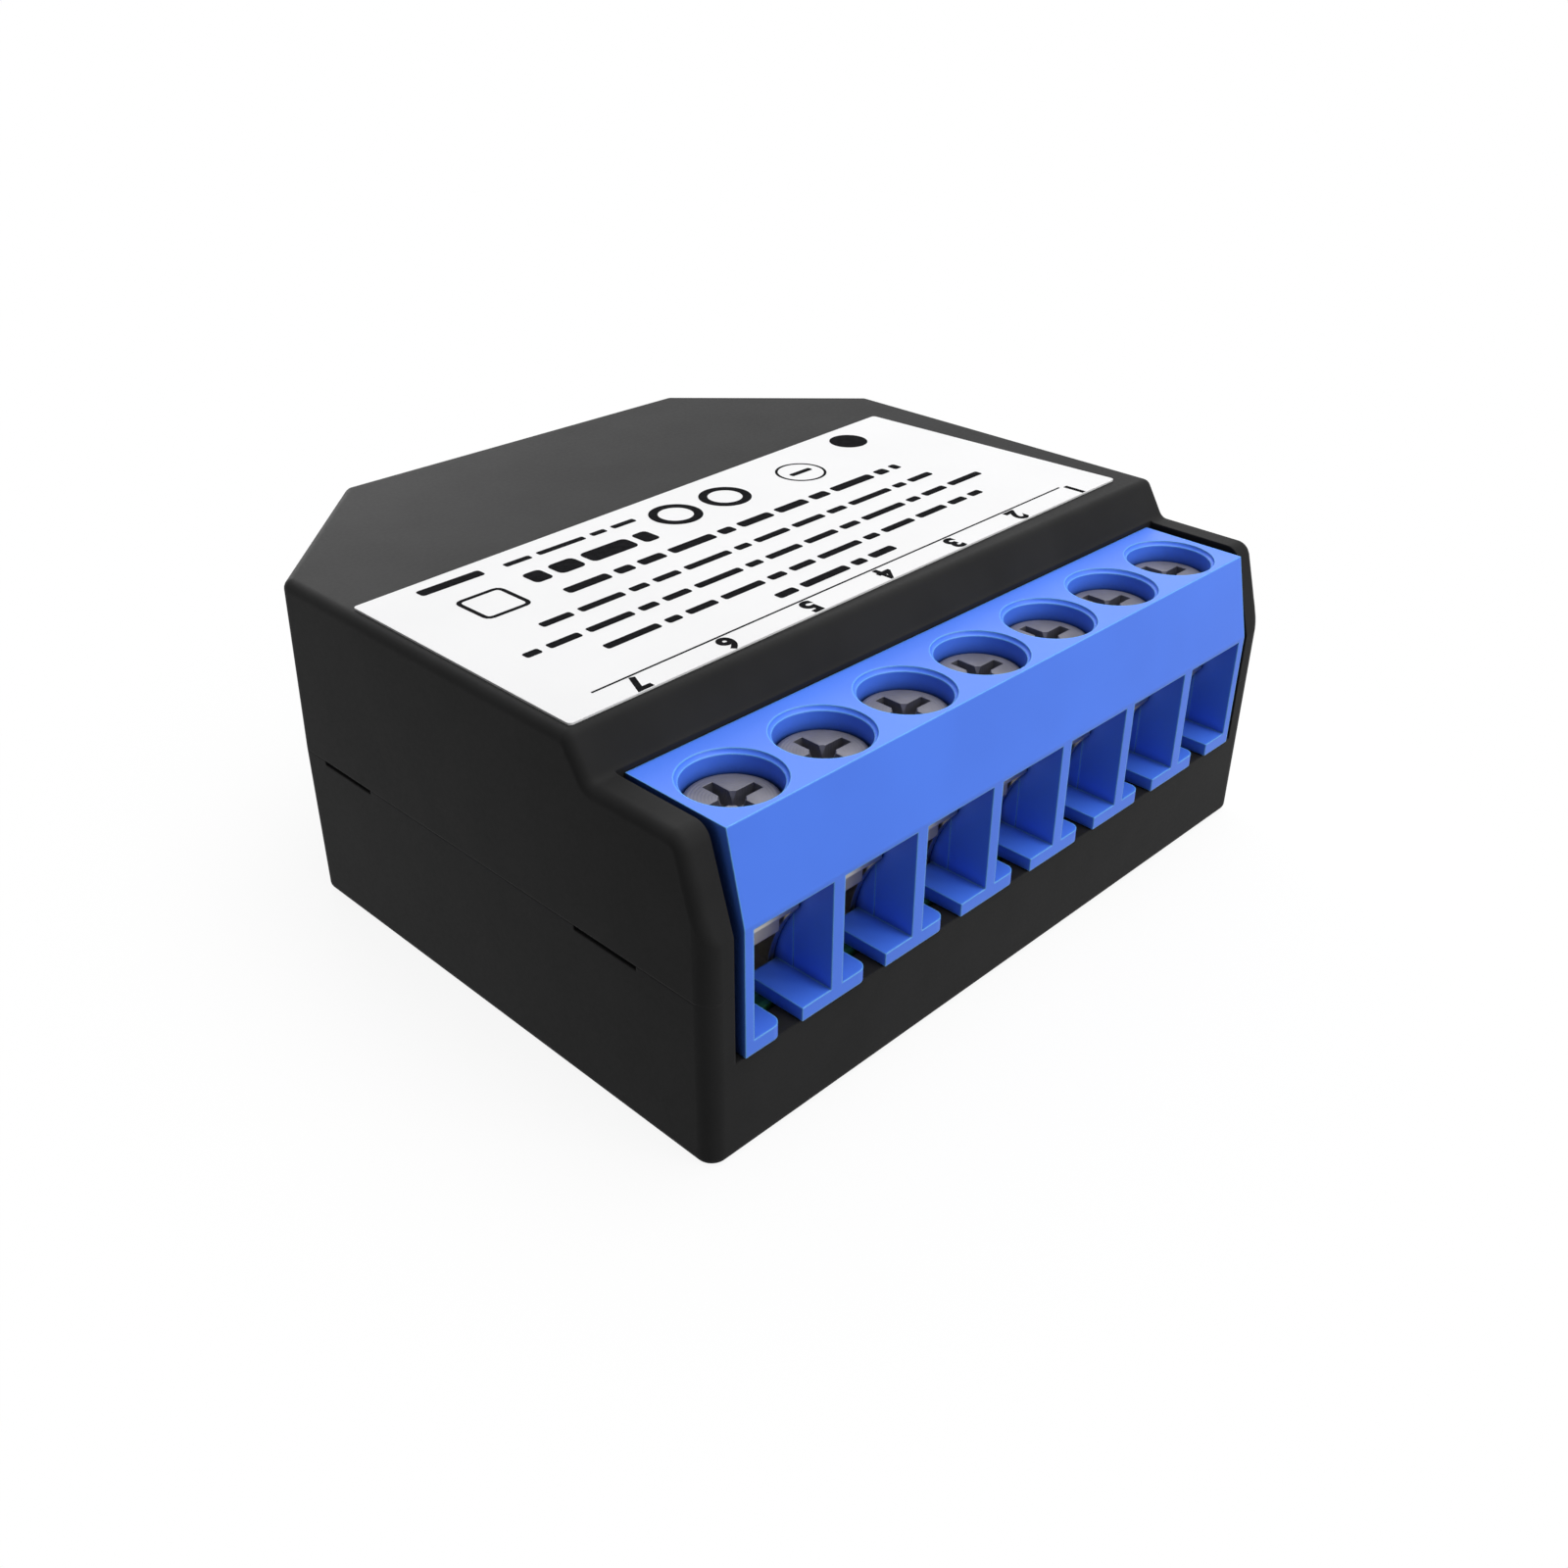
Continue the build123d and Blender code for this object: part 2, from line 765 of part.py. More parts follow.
# Terminal screws: cross-recessed heads on plain shanks that stand for the M2.5 thread
for n, pole_x in enumerate(pole_xs, start=1):
    with BuildPart() as terminal_screw:
        upright(pole_x, screw_y, head_radius, seat_z, head_top_z)
        fillet(terminal_screw.edges().sort_by(Axis.Z)[-1], head_edge_round)
        upright(pole_x, screw_y, shank_radius, screw_tip_z, seat_z)
        with Locations((pole_x, screw_y, head_top_z)):
            for slot in ((recess_length, recess_width), (recess_width, recess_length)):
                Box(
                    *slot,
                    recess_depth,
                    align=(Align.CENTER, Align.CENTER, Align.MAX),
                    mode=Mode.SUBTRACT,
                )
            Cone(
                recess_width / 2,
                recess_centre_radius,
                recess_depth,
                align=(Align.CENTER, Align.CENTER, Align.MAX),
                mode=Mode.SUBTRACT,
            )
    terminal_screw.part.label = f"terminal_screw_{n}"
    export_step(terminal_screw.part, f"parts/terminal_screw_{n}.step")

# Clamp cages: each rides on its screw's thread and lifts the wire against the bar
for n, pole_x in enumerate(pole_xs, start=1):
    with BuildPart() as clamp_cage:
        with BuildSketch(Plane.YZ.offset(pole_x)):
            with BuildLine():
                Polyline(
                    (cage_mouth_y, cage_floor_z),
                    (cage_mouth_y, cage_low_z),
                    (cage_rear_y, cage_low_z),
                    (cage_rear_y, cage_high_z),
                    (cage_front_y, cage_high_z),
                    (cage_front_y, cage_roof_z),
                )
                Spline(
                    (cage_front_y, cage_roof_z),
                    (bar_front_y + cage_bar_clearance, bar_bottom_z),
                    (cage_mouth_y, cage_floor_z),
                )
            make_face()
        extrude(amount=cage_half, both=True)
        block_between(
            (pole_x - cage_half + cage_wall, cage_front_y - overrun, cage_floor_z),
            (pole_x + cage_half - cage_wall, cage_rear_y + overrun, cage_roof_z),
            mode=Mode.SUBTRACT,
        )
        upright(
            pole_x,
            screw_y,
            shank_radius + shank_clearance,
            cage_roof_z - overrun,
            cage_high_z + overrun,
            mode=Mode.SUBTRACT,
        )
    clamp_cage.part.label = f"clamp_cage_{n}"
    export_step(clamp_cage.part, f"parts/clamp_cage_{n}.step")

# Conductor bars: one L-shaped bar with a solder pin for each pole
with BuildPart() as conductor_bars:
    for pole_x in pole_xs:
        block_between(
            (pole_x - bar_width / 2, bar_front_y, bar_bottom_z),
            (pole_x + bar_width / 2, bar_rear_y, bar_top_z),
        )
        block_between(
            (pole_x - bar_width / 2, bar_rear_y - bar_thickness, board_top_z),
            (pole_x + bar_width / 2, bar_rear_y, bar_bottom_z),
        )
        block_between(
            (pole_x - bar_pin_width / 2, bar_rear_y - bar_thickness, tail_z),
            (pole_x + bar_pin_width / 2, bar_rear_y, board_top_z),
        )
conductor_bars.part.label = "conductor_bars"
export_step(conductor_bars.part, "parts/conductor_bars.step")

# Where pins pass through the power board: x, y and hole radius
pin_hole_radius = hole_round(bar_pin_width, bar_thickness)
yoke_hole_radius = hole_round(relay_pin_width, yoke_thickness)
contact_hole_radius = hole_round(relay_pin_width, blade_thickness)
link_hole_radius = hole_round(link_side, link_side)
coil_hole_radius = coil_pin_radius + hole_clearance
contact_pin_y = blade_y + blade_thickness - blade_leg_width / 2
yoke_pin_y = yoke_front_y + yoke_thickness / 2
power_board_holes = [(pole_x, pin_y, pin_hole_radius) for pole_x in pole_xs]
for relay_x in relay_xs:
    power_board_holes += [
        (relay_x - coil_pin_side, coil_pin_y, coil_hole_radius),
        (relay_x + coil_pin_side, coil_pin_y, coil_hole_radius),
        (relay_x, yoke_pin_y, yoke_hole_radius),
        (relay_x + blade_x + blade_thickness / 2, contact_pin_y, contact_hole_radius),
    ]
former_pegs = [
    (transformer_centre[0] + dx * former_peg_spacing, transformer_centre[1] + dy * former_depth / 2)
    for dx in (-1, 0, 1)
    for dy in (-1, 1)
]
former_pegs = [
    (x, y - math.copysign(former_peg_radius + former_fit, y - transformer_centre[1]))
    for x, y in former_pegs
]
power_board_holes += [(x, y, former_peg_radius + hole_clearance) for x, y in former_pegs]
inductor_reach = inductor_length / 2 + axial_lead_reach
lead_places = [
    (fuse_centre[0], fuse_centre[1] - fuse_reach),
    (fuse_centre[0], fuse_centre[1] + fuse_reach),
    (inductor_centre[0] - inductor_reach, inductor_centre[1]),
    (inductor_centre[0] + inductor_reach, inductor_centre[1]),
    (varistor_centre[0], varistor_centre[1] - varistor_lead_spacing / 2),
    (varistor_centre[0], varistor_centre[1] + varistor_lead_spacing / 2),
]
power_board_holes += [(x, y, axial_lead_radius + hole_clearance) for x, y in lead_places]
power_board_holes += [(x, link_y, link_hole_radius) for x in link_xs]

# Power board
with BuildPart() as power_board:
    extrude(housing_plan(board_bottom_z, wall + board_clearance), amount=board_thickness)
    for hole_x, hole_y, hole_radius in power_board_holes:
        upright(
            hole_x,
            hole_y,
            hole_radius,
            board_bottom_z - overrun,
            board_top_z + overrun,
            mode=Mode.SUBTRACT,
        )
power_board.part.label = "power_board"
export_step(power_board.part, "parts/power_board.step")

# Relays: base, cover, bobbin, winding, yoke with core, armature, contact blade and coil pins
for n, relay_x in enumerate(relay_xs, start=1):
    with BuildPart() as relay_base:
        base_inset = relay_wall + relay_base_fit
        block_between(
            (relay_x - relay_width / 2 + base_inset, relay_front_y + base_inset, board_top_z),
            (relay_x + relay_width / 2 - base_inset, relay_rear_y - base_inset, relay_base_z),
        )
        for hole_x, hole_y, hole_radius in power_board_holes:
            if abs(hole_x - relay_x) < relay_width / 2 and relay_front_y < hole_y < relay_rear_y:
                upright(
                    hole_x,
                    hole_y,
                    hole_radius,
                    board_top_z - overrun,
                    relay_base_z + overrun,
                    mode=Mode.SUBTRACT,
                )
    relay_base.part.label = f"relay_{n}_base"
    export_step(relay_base.part, f"parts/relay_{n}_base.step")

    with BuildPart() as relay_cover:
        cover_low_z = board_top_z + relay_cover_lift
        cover_top_z = board_top_z + relay_height
        block_between(
            (relay_x - relay_width / 2, relay_front_y, cover_low_z),
            (relay_x + relay_width / 2, relay_rear_y, cover_top_z),
        )
        fillet(relay_cover.edges().filter_by(Axis.Z), relay_side_round)
        fillet(relay_cover.faces().sort_by(Axis.Z)[-1].edges(), relay_top_round)
        block_between(
            (relay_x - relay_width / 2 + relay_wall, relay_front_y + relay_wall, cover_low_z),
            (
                relay_x + relay_width / 2 - relay_wall,
                relay_rear_y - relay_wall,
                cover_top_z - relay_wall,
            ),
            mode=Mode.SUBTRACT,
        )
    relay_cover.part.label = f"relay_{n}_cover"
    export_step(relay_cover.part, f"parts/relay_{n}_cover.step")

    with BuildPart() as relay_yoke:
        block_between(
            (relay_x - yoke_width / 2, yoke_front_y, relay_base_z),
            (relay_x + yoke_width / 2, yoke_front_y + yoke_thickness, relay_base_z + yoke_height),
        )
        block_between(
            (relay_x - yoke_width / 2, yoke_front_y, relay_base_z),
            (relay_x + yoke_width / 2, armature_front_y + armature_lift, yoke_top_z),
        )
        level_rod(relay_x, coil_z, core_radius, yoke_front_y + yoke_thickness, pole_face_y)
        level_rod(relay_x, coil_z, pole_radius, pole_face_y - pole_thickness, pole_face_y)
        block_between(
            (relay_x - relay_pin_width / 2, yoke_front_y, tail_z),
            (relay_x + relay_pin_width / 2, yoke_front_y + yoke_thickness, relay_base_z),
        )
    relay_yoke.part.label = f"relay_{n}_yoke"
    export_step(relay_yoke.part, f"parts/relay_{n}_yoke.step")

    with BuildPart() as relay_bobbin:
        hub_radius = core_radius + bobbin_fit + bobbin_hub_wall
        level_rod(relay_x, coil_z, hub_radius, bobbin_front_y, bobbin_rear_y)
        for flange_y in (bobbin_front_y, bobbin_rear_y - bobbin_flange):
            block_between(
                (relay_x - bobbin_half_side, flange_y, coil_z - bobbin_half_side),
                (relay_x + bobbin_half_side, flange_y + bobbin_flange, coil_z + bobbin_half_side),
            )
        level_rod(
            relay_x,
            coil_z,
            core_radius + bobbin_fit,
            bobbin_front_y - overrun,
            bobbin_rear_y + overrun,
            mode=Mode.SUBTRACT,
        )
    relay_bobbin.part.label = f"relay_{n}_bobbin"
    export_step(relay_bobbin.part, f"parts/relay_{n}_bobbin.step")

    with BuildPart() as relay_winding:
        winding_ends = (bobbin_front_y + bobbin_flange, bobbin_rear_y - bobbin_flange)
        level_rod(relay_x, coil_z, winding_radius, *winding_ends)
        level_rod(relay_x, coil_z, hub_radius + winding_fit, *winding_ends, mode=Mode.SUBTRACT)
    relay_winding.part.label = f"relay_{n}_winding"
    export_step(relay_winding.part, f"parts/relay_{n}_winding.step")

    # The armature carries the moving contact spring and rocks on the end of the yoke
    with BuildPart() as relay_armature:
        block_between(
            (relay_x - armature_width / 2, armature_front_y, armature_bottom_z),
            (relay_x + armature_width / 2, armature_rear_y, armature_bottom_z + armature_height),
        )
        block_between(
            (relay_x - spring_width / 2, armature_rear_y, armature_bottom_z + spring_start),
            (
                relay_x + spring_width / 2,
                armature_rear_y + spring_thickness,
                armature_bottom_z + spring_start + spring_height,
            ),
        )
        level_rod(
            relay_x,
            contact_z,
            contact_radius,
            armature_rear_y - moving_contact_length,
            armature_rear_y + spring_thickness / 2,
        )
    relay_armature.part.label = f"relay_{n}_armature"
    export_step(relay_armature.part, f"parts/relay_{n}_armature.step")

    with BuildPart() as relay_contact:
        blade_top_z = contact_z + blade_height / 2
        blade_end_x = relay_x + blade_x + blade_thickness
        block_between(
            (relay_x - blade_reach, blade_y, contact_z - blade_height / 2),
            (blade_end_x, blade_y + blade_thickness, blade_top_z),
        )
        block_between(
            (relay_x + blade_x, blade_y + blade_thickness - blade_leg_width, relay_base_z),
            (blade_end_x, blade_y + blade_thickness, blade_top_z),
        )
        block_between(
            (relay_x + blade_x, contact_pin_y - relay_pin_width / 2, tail_z),
            (blade_end_x, contact_pin_y + relay_pin_width / 2, relay_base_z),
        )
        level_rod(
            relay_x,
            contact_z,
            contact_radius,
            blade_y + blade_thickness / 2,
            fixed_contact_y,
        )
    relay_contact.part.label = f"relay_{n}_contact"
    export_step(relay_contact.part, f"parts/relay_{n}_contact.step")

    with BuildPart() as relay_coil_pins:
        for side in (-1, 1):
            upright(
                relay_x + side * coil_pin_side,
                coil_pin_y,
                coil_pin_radius,
                tail_z,
                relay_base_z + coil_pin_rise,
            )
    relay_coil_pins.part.label = f"relay_{n}_coil_pins"
    export_step(relay_coil_pins.part, f"parts/relay_{n}_coil_pins.step")

# Transformer: ferrite core, coil former and winding
core_x, core_y = transformer_centre
core_low_z = board_top_z + core_lift
core_top_z = core_low_z + core_height
window_low_z = core_low_z + core_back
window_top_z = core_top_z - core_back
with BuildPart() as transformer_core:
    block_between(
        (core_x - core_width / 2, core_y - core_depth / 2, core_low_z),
        (core_x + core_width / 2, core_y + core_depth / 2, core_top_z),
    )
    for side in (-1, 1):
        window_xs = sorted(
            (core_x + side * core_leg / 2, core_x + side * (core_width / 2 - core_limb))
        )
        block_between(
            (window_xs[0], core_y - core_depth, window_low_z),
            (window_xs[1], core_y + core_depth, window_top_z),
            mode=Mode.SUBTRACT,
        )
transformer_core.part.label = "transformer_core"
export_step(transformer_core.part, "parts/transformer_core.step")

former_inner = (core_leg / 2 + former_fit, core_depth / 2 + former_fit)
former_outer = (former_inner[0] + former_wall, former_inner[1] + former_wall)
former_side = core_width / 2 - core_limb - former_fit
flange_levels = (window_low_z + former_fit, window_top_z - former_fit - former_flange)
with BuildPart() as transformer_former:
    block_between(
        (core_x - former_outer[0], core_y - former_outer[1], flange_levels[0]),
        (core_x + former_outer[0], core_y + former_outer[1], flange_levels[1] + former_flange),
    )
    for flange_z in flange_levels:
        block_between(
            (core_x - former_side, core_y - former_depth / 2, flange_z),
            (core_x + former_side, core_y + former_depth / 2, flange_z + former_flange),
        )
    block_between(
        (core_x - former_inner[0], core_y - former_inner[1], flange_levels[0] - overrun),
        (core_x + former_inner[0], core_y + former_inner[1], window_top_z),
        mode=Mode.SUBTRACT,
    )
    # Two rails beside the core stand on the board and hold the pegs
    for side in (-1, 1):
        rail_ys = sorted(
            (core_y + side * (core_depth / 2 + former_fit), core_y + side * former_depth / 2)
        )
        block_between(
            (core_x - former_rail_width / 2, rail_ys[0], board_top_z),
            (core_x + former_rail_width / 2, rail_ys[1], flange_levels[0]),
        )
    for peg_x, peg_y in former_pegs:
        upright(peg_x, peg_y, former_peg_radius, tail_z, board_top_z + former_flange)
transformer_former.part.label = "transformer_former"
export_step(transformer_former.part, "parts/transformer_former.step")

with BuildPart() as transformer_winding:
    with BuildSketch(Plane.XY.offset(flange_levels[0] + former_flange)):
        with Locations(transformer_centre):
            RectangleRounded(
                2 * (former_side - transformer_winding_side),
                former_depth - 2 * transformer_winding_side,
                transformer_winding_corner,
            )
            Rectangle(
                2 * (former_outer[0] + winding_fit),
                2 * (former_outer[1] + winding_fit),
                mode=Mode.SUBTRACT,
            )
    extrude(amount=flange_levels[1] - flange_levels[0] - former_flange)
transformer_winding.part.label = "transformer_winding"
export_step(transformer_winding.part, "parts/transformer_winding.step")


def can_capacitor(x, y, radius, height):
    """An upright can with a rounded top and the rolled groove above its seal."""
    groove_low_z = board_top_z + capacitor_groove_lift
    with BuildSketch(Plane((x, y, 0), x_dir=(1, 0, 0), z_dir=(0, -1, 0))) as profile:
        with BuildLine():
            Polyline(
                (radius, board_top_z + height - capacitor_edge_round),
                (radius, groove_low_z + capacitor_groove_height),
                (radius - capacitor_groove_depth, groove_low_z + capacitor_groove_height / 2),
                (radius, groove_low_z),
                (radius, board_top_z),
                (0, board_top_z),
                (0, board_top_z + height),
                (radius - capacitor_edge_round, board_top_z + height),
            )
            RadiusArc(
                (radius - capacitor_edge_round, board_top_z + height),
                (radius, board_top_z + height - capacitor_edge_round),
                capacitor_edge_round,
            )
        make_face()
    revolve(profile.sketch, axis=Axis((x, y, 0), (0, 0, 1)))


with BuildPart() as input_capacitor:
    can_capacitor(*input_capacitor_centre, input_capacitor_radius, input_capacitor_height)
input_capacitor.part.label = "input_capacitor"
export_step(input_capacitor.part, "parts/input_capacitor.step")

with BuildPart() as output_capacitors:
    for centre in output_capacitor_centres:
        can_capacitor(*centre, output_capacitor_radius, output_capacitor_height)
output_capacitors.part.label = "output_capacitors"
export_step(output_capacitors.part, "parts/output_capacitors.step")


def axial_part(centre, radius, length, along):
    """A lying cylinder on the board with a lead at each end that bends down into it."""
    axis_z = board_top_z + radius
    reach = length / 2 + axial_lead_reach
    turned = Location((centre[0], centre[1], 0), (0, 0, 0 if along == "Y" else 90))
    with Locations(turned):
        with Locations((0, 0, axis_z)):
            Cylinder(radius, length, rotation=(90, 0, 0))
            Cylinder(axial_lead_radius, 2 * reach, rotation=(90, 0, 0))
        with Locations((0, -reach, (tail_z + axis_z) / 2), (0, reach, (tail_z + axis_z) / 2)):
            Cylinder(axial_lead_radius, axis_z - tail_z)
        with Locations((0, -reach, axis_z), (0, reach, axis_z)):
            Sphere(axial_lead_radius)


with BuildPart() as fuse_resistor:
    axial_part(fuse_centre, fuse_radius, fuse_length, "Y")
fuse_resistor.part.label = "fuse_resistor"
export_step(fuse_resistor.part, "parts/fuse_resistor.step")

with BuildPart() as line_inductor:
    axial_part(inductor_centre, inductor_radius, inductor_length, "X")
line_inductor.part.label = "line_inductor"
export_step(line_inductor.part, "parts/line_inductor.step")

# Varistor: a coated disc standing on two leads
with BuildPart() as varistor:
    disc_x, disc_y = varistor_centre
    with BuildSketch(Plane.YZ.offset(disc_x)):
        with Locations((disc_y, board_top_z + varistor_radius)):
            Circle(varistor_radius)
    extrude(amount=varistor_thickness / 2, both=True)
    fillet(varistor.edges(), varistor_edge_round)
    for side in (-1, 1):
        upright(
            disc_x,
            disc_y + side * varistor_lead_spacing / 2,
            axial_lead_radius,
            tail_z,
            board_top_z + varistor_radius,
        )
varistor.part.label = "varistor"
export_step(varistor.part, "parts/varistor.step")


def leaded_package(centre, size, lead_rows, along_y):
    """A moulded package on flat leads, in rows along X or along Y."""
    turned = Location((centre[0], centre[1], board_top_z), (0, 0, 90 if along_y else 0))
    long_side, short_side = (size[1], size[0]) if along_y else (size[0], size[1])
    with Locations(turned):
        Box(
            long_side,
            short_side,
            size[2],
            align=(Align.CENTER, Align.CENTER, Align.MIN),
        )
        for row in range(lead_rows):
            lead_x = (row - (lead_rows - 1) / 2) * lead_pitch
            for side in (-1, 1):
                with Locations((lead_x, side * (short_side + lead_reach - overrun) / 2, 0)):
                    Box(
                        lead_width,
                        lead_reach + overrun,
                        lead_thickness,
                        align=(Align.CENTER, Align.CENTER, Align.MIN),
                    )


with BuildPart() as bridge_rectifier:
    leaded_package(rectifier_centre, rectifier_size, 2, along_y=False)
    fillet(bridge_rectifier.faces().sort_by(Axis.Z)[-1].edges(), chip_chamfer)
bridge_rectifier.part.label = "bridge_rectifier"
export_step(bridge_rectifier.part, "parts/bridge_rectifier.step")

with BuildPart() as converter_chip:
    leaded_package(converter_centre, converter_size, converter_leads, along_y=True)
    chamfer(converter_chip.faces().sort_by(Axis.Z)[-1].edges(), chip_chamfer)
converter_chip.part.label = "converter_chip"
export_step(converter_chip.part, "parts/converter_chip.step")

with BuildPart() as output_diode:
    leaded_package(diode_centre, diode_size, 1, along_y=False)
    chamfer(output_diode.faces().sort_by(Axis.Z)[-1].edges(), chip_chamfer)
output_diode.part.label = "output_diode"
export_step(output_diode.part, "parts/output_diode.step")

# Current shunts: a bowed strip between two solder caps
with BuildPart() as current_shunts:
    for shunt_x, shunt_y in shunt_centres:
        block_between(
            (shunt_x - shunt_size[0] / 2, shunt_y - shunt_size[1] / 2, board_top_z),
            (
                shunt_x + shunt_size[0] / 2,
                shunt_y + shunt_size[1] / 2,
                board_top_z + shunt_size[2],
            ),
        )
        strip_half = shunt_size[1] / 2 - shunt_cap_length
        for level in (board_top_z, board_top_z + shunt_size[2]):
            block_between(
                (shunt_x - shunt_size[0], shunt_y - strip_half, level - shunt_body_relief),
                (shunt_x + shunt_size[0], shunt_y + strip_half, level + shunt_body_relief),
                mode=Mode.SUBTRACT,
            )
current_shunts.part.label = "current_shunts"
export_step(current_shunts.part, "parts/current_shunts.step")

# Logic board: stands on the power board in front of the rear wall
with BuildPart() as logic_board:
    block_between(
        (-logic_board_width / 2, logic_front_y, board_top_z),
        (logic_board_width / 2, logic_rear_y, board_top_z + logic_board_height),
    )
    for link_x in link_xs:
        level_rod(
            link_x,
            link_z,
            link_hole_radius,
            logic_front_y - overrun,
            logic_rear_y + overrun,
            mode=Mode.SUBTRACT,
        )
logic_board.part.label = "logic_board"
export_step(logic_board.part, "parts/logic_board.step")

# Link pins: bent square pins that join the two boards
with BuildPart() as board_link_pins:
    for link_x in link_xs:
        block_between(
            (link_x - link_side / 2, link_y - link_side / 2, tail_z),
            (link_x + link_side / 2, link_y + link_side / 2, link_z + link_side / 2),
        )
        block_between(
            (link_x - link_side / 2, link_y, link_z - link_side / 2),
            (link_x + link_side / 2, logic_rear_y + link_side, link_z + link_side / 2),
        )
board_link_pins.part.label = "board_link_pins"
export_step(board_link_pins.part, "parts/board_link_pins.step")


def logic_part(place, size):
    """A flat package on the front face of the logic board, at x and height above the board."""
    with Locations((place[0], logic_front_y, board_top_z + place[1])):
        Box(size[0], size[2], size[1], align=(Align.CENTER, Align.MAX, Align.CENTER))


with BuildPart() as radio_chip:
    logic_part(radio_chip_place, radio_chip_size)
    chamfer(radio_chip.faces().sort_by(Axis.Y)[0].edges(), chip_chamfer)
radio_chip.part.label = "radio_chip"
export_step(radio_chip.part, "parts/radio_chip.step")

with BuildPart() as flash_chip:
    logic_part(flash_chip_place, flash_chip_size)
    chamfer(flash_chip.faces().sort_by(Axis.Y)[0].edges(), chip_chamfer)
flash_chip.part.label = "flash_chip"
export_step(flash_chip.part, "parts/flash_chip.step")

with BuildPart() as crystal:
    logic_part(crystal_place, crystal_size)
    fillet(crystal.faces().sort_by(Axis.Y)[0].edges(), chip_chamfer)
crystal.part.label = "crystal"
export_step(crystal.part, "parts/crystal.step")

# Antenna: a meandering copper track
with BuildPart() as antenna:
    track_y = logic_front_y - antenna_thickness
    antenna_low_z = board_top_z + antenna_place[1] - antenna_length / 2
    antenna_first_x = antenna_place[0] - (antenna_turns - 1) * antenna_spacing / 2
    for turn in range(antenna_turns):
        track_x = antenna_first_x + turn * antenna_spacing
        block_between(
            (track_x - antenna_width / 2, track_y, antenna_low_z),
            (track_x + antenna_width / 2, logic_front_y, antenna_low_z + antenna_length),
        )
        if turn + 1 < antenna_turns:
            bridge_z = antenna_low_z + (turn % 2) * (antenna_length - antenna_width)
            block_between(
                (track_x, track_y, bridge_z),
                (track_x + antenna_spacing, logic_front_y, bridge_z + antenna_width),
            )
antenna.part.label = "antenna"
export_step(antenna.part, "parts/antenna.step")

# Status lamp on the rear face of the logic board
with BuildPart() as status_led:
    lamp_z = board_top_z + led_place[1]
    with Locations((led_place[0], logic_rear_y, lamp_z)):
        Box(led_size[0], led_size[2], led_size[1], align=(Align.CENTER, Align.MIN, Align.CENTER))
    fillet(status_led.faces().sort_by(Axis.Y)[-1].edges(), led_size[1] * led_dome_share / 2)
status_led.part.label = "status_led"
export_step(status_led.part, "parts/status_led.step")

# Reset switch with the sprung button that reaches into the rear wall
switch_x = switch_place[0]
bore_rear_y = logic_rear_y + switch_depth - switch_front
with BuildPart() as reset_switch:
    block_between(
        (switch_x - switch_side / 2, logic_rear_y, button_z - switch_side / 2),
        (switch_x + switch_side / 2, logic_rear_y + switch_depth, button_z + switch_side / 2),
    )
    level_rod(
        switch_x, button_z, switch_bore, logic_rear_y + switch_back, bore_rear_y, mode=Mode.SUBTRACT
    )
    level_rod(
        switch_x,
        button_z,
        button_radius + button_fit,
        bore_rear_y - overrun,
        logic_rear_y + switch_depth + overrun,
        mode=Mode.SUBTRACT,
    )
reset_switch.part.label = "reset_switch"
export_step(reset_switch.part, "parts/reset_switch.step")

with BuildPart() as reset_button:
    flange_rear_y = bore_rear_y - button_fit
    level_rod(
        switch_x,
        button_z,
        switch_bore - button_fit,
        flange_rear_y - button_flange_thickness,
        flange_rear_y,
    )
    level_rod(switch_x, button_z, button_radius, flange_rear_y - button_fit, button_tip_y)
    fillet(reset_button.edges().sort_by(Axis.Y)[-1], button_edge_round)
reset_button.part.label = "reset_button"
export_step(reset_button.part, "parts/reset_button.step")

# Programming socket behind its window in the rear wall
with BuildPart() as programming_socket:
    block_between(
        (socket_place[0] - socket_width / 2, logic_rear_y, socket_z - socket_height / 2),
        (socket_place[0] + socket_width / 2, socket_rear_y, socket_z + socket_height / 2),
    )
    for pin in range(socket_pins):
        socket_x = socket_place[0] + (pin - (socket_pins - 1) / 2) * socket_pitch
        level_rod(
            socket_x,
            socket_z,
            socket_bore,
            socket_rear_y - socket_bore_depth,
            socket_rear_y + overrun,
            mode=Mode.SUBTRACT,
        )
programming_socket.part.label = "programming_socket"
export_step(programming_socket.part, "parts/programming_socket.step")
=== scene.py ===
# %% [markdown]
# # Two-channel relay module for a wall box
# The CAD model is loaded first and stays as it is: it gives every shape its true size and place.
# This notebook dresses it. Each step says what the real surface is, how it could be made in
# Blender, and why one way was picked. All lengths are in metres; one millimetre is `MM`.

# %% Load the CAD frame
import math

import bpy
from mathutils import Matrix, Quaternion, Vector


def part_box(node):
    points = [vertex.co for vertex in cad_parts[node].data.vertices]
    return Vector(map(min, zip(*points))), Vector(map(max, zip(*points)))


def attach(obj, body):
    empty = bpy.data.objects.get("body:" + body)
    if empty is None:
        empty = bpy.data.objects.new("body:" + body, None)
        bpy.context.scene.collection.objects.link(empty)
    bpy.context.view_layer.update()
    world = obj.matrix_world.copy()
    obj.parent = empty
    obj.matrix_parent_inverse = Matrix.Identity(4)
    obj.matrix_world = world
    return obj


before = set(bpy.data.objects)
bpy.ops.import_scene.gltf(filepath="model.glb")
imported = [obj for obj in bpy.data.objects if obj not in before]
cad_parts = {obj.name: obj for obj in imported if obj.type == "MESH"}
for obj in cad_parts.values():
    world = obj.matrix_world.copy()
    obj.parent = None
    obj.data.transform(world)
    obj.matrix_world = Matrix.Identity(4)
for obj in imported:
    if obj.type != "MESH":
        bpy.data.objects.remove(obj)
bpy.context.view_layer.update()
MM = 0.001
print("pieces from the CAD model:", len(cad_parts))

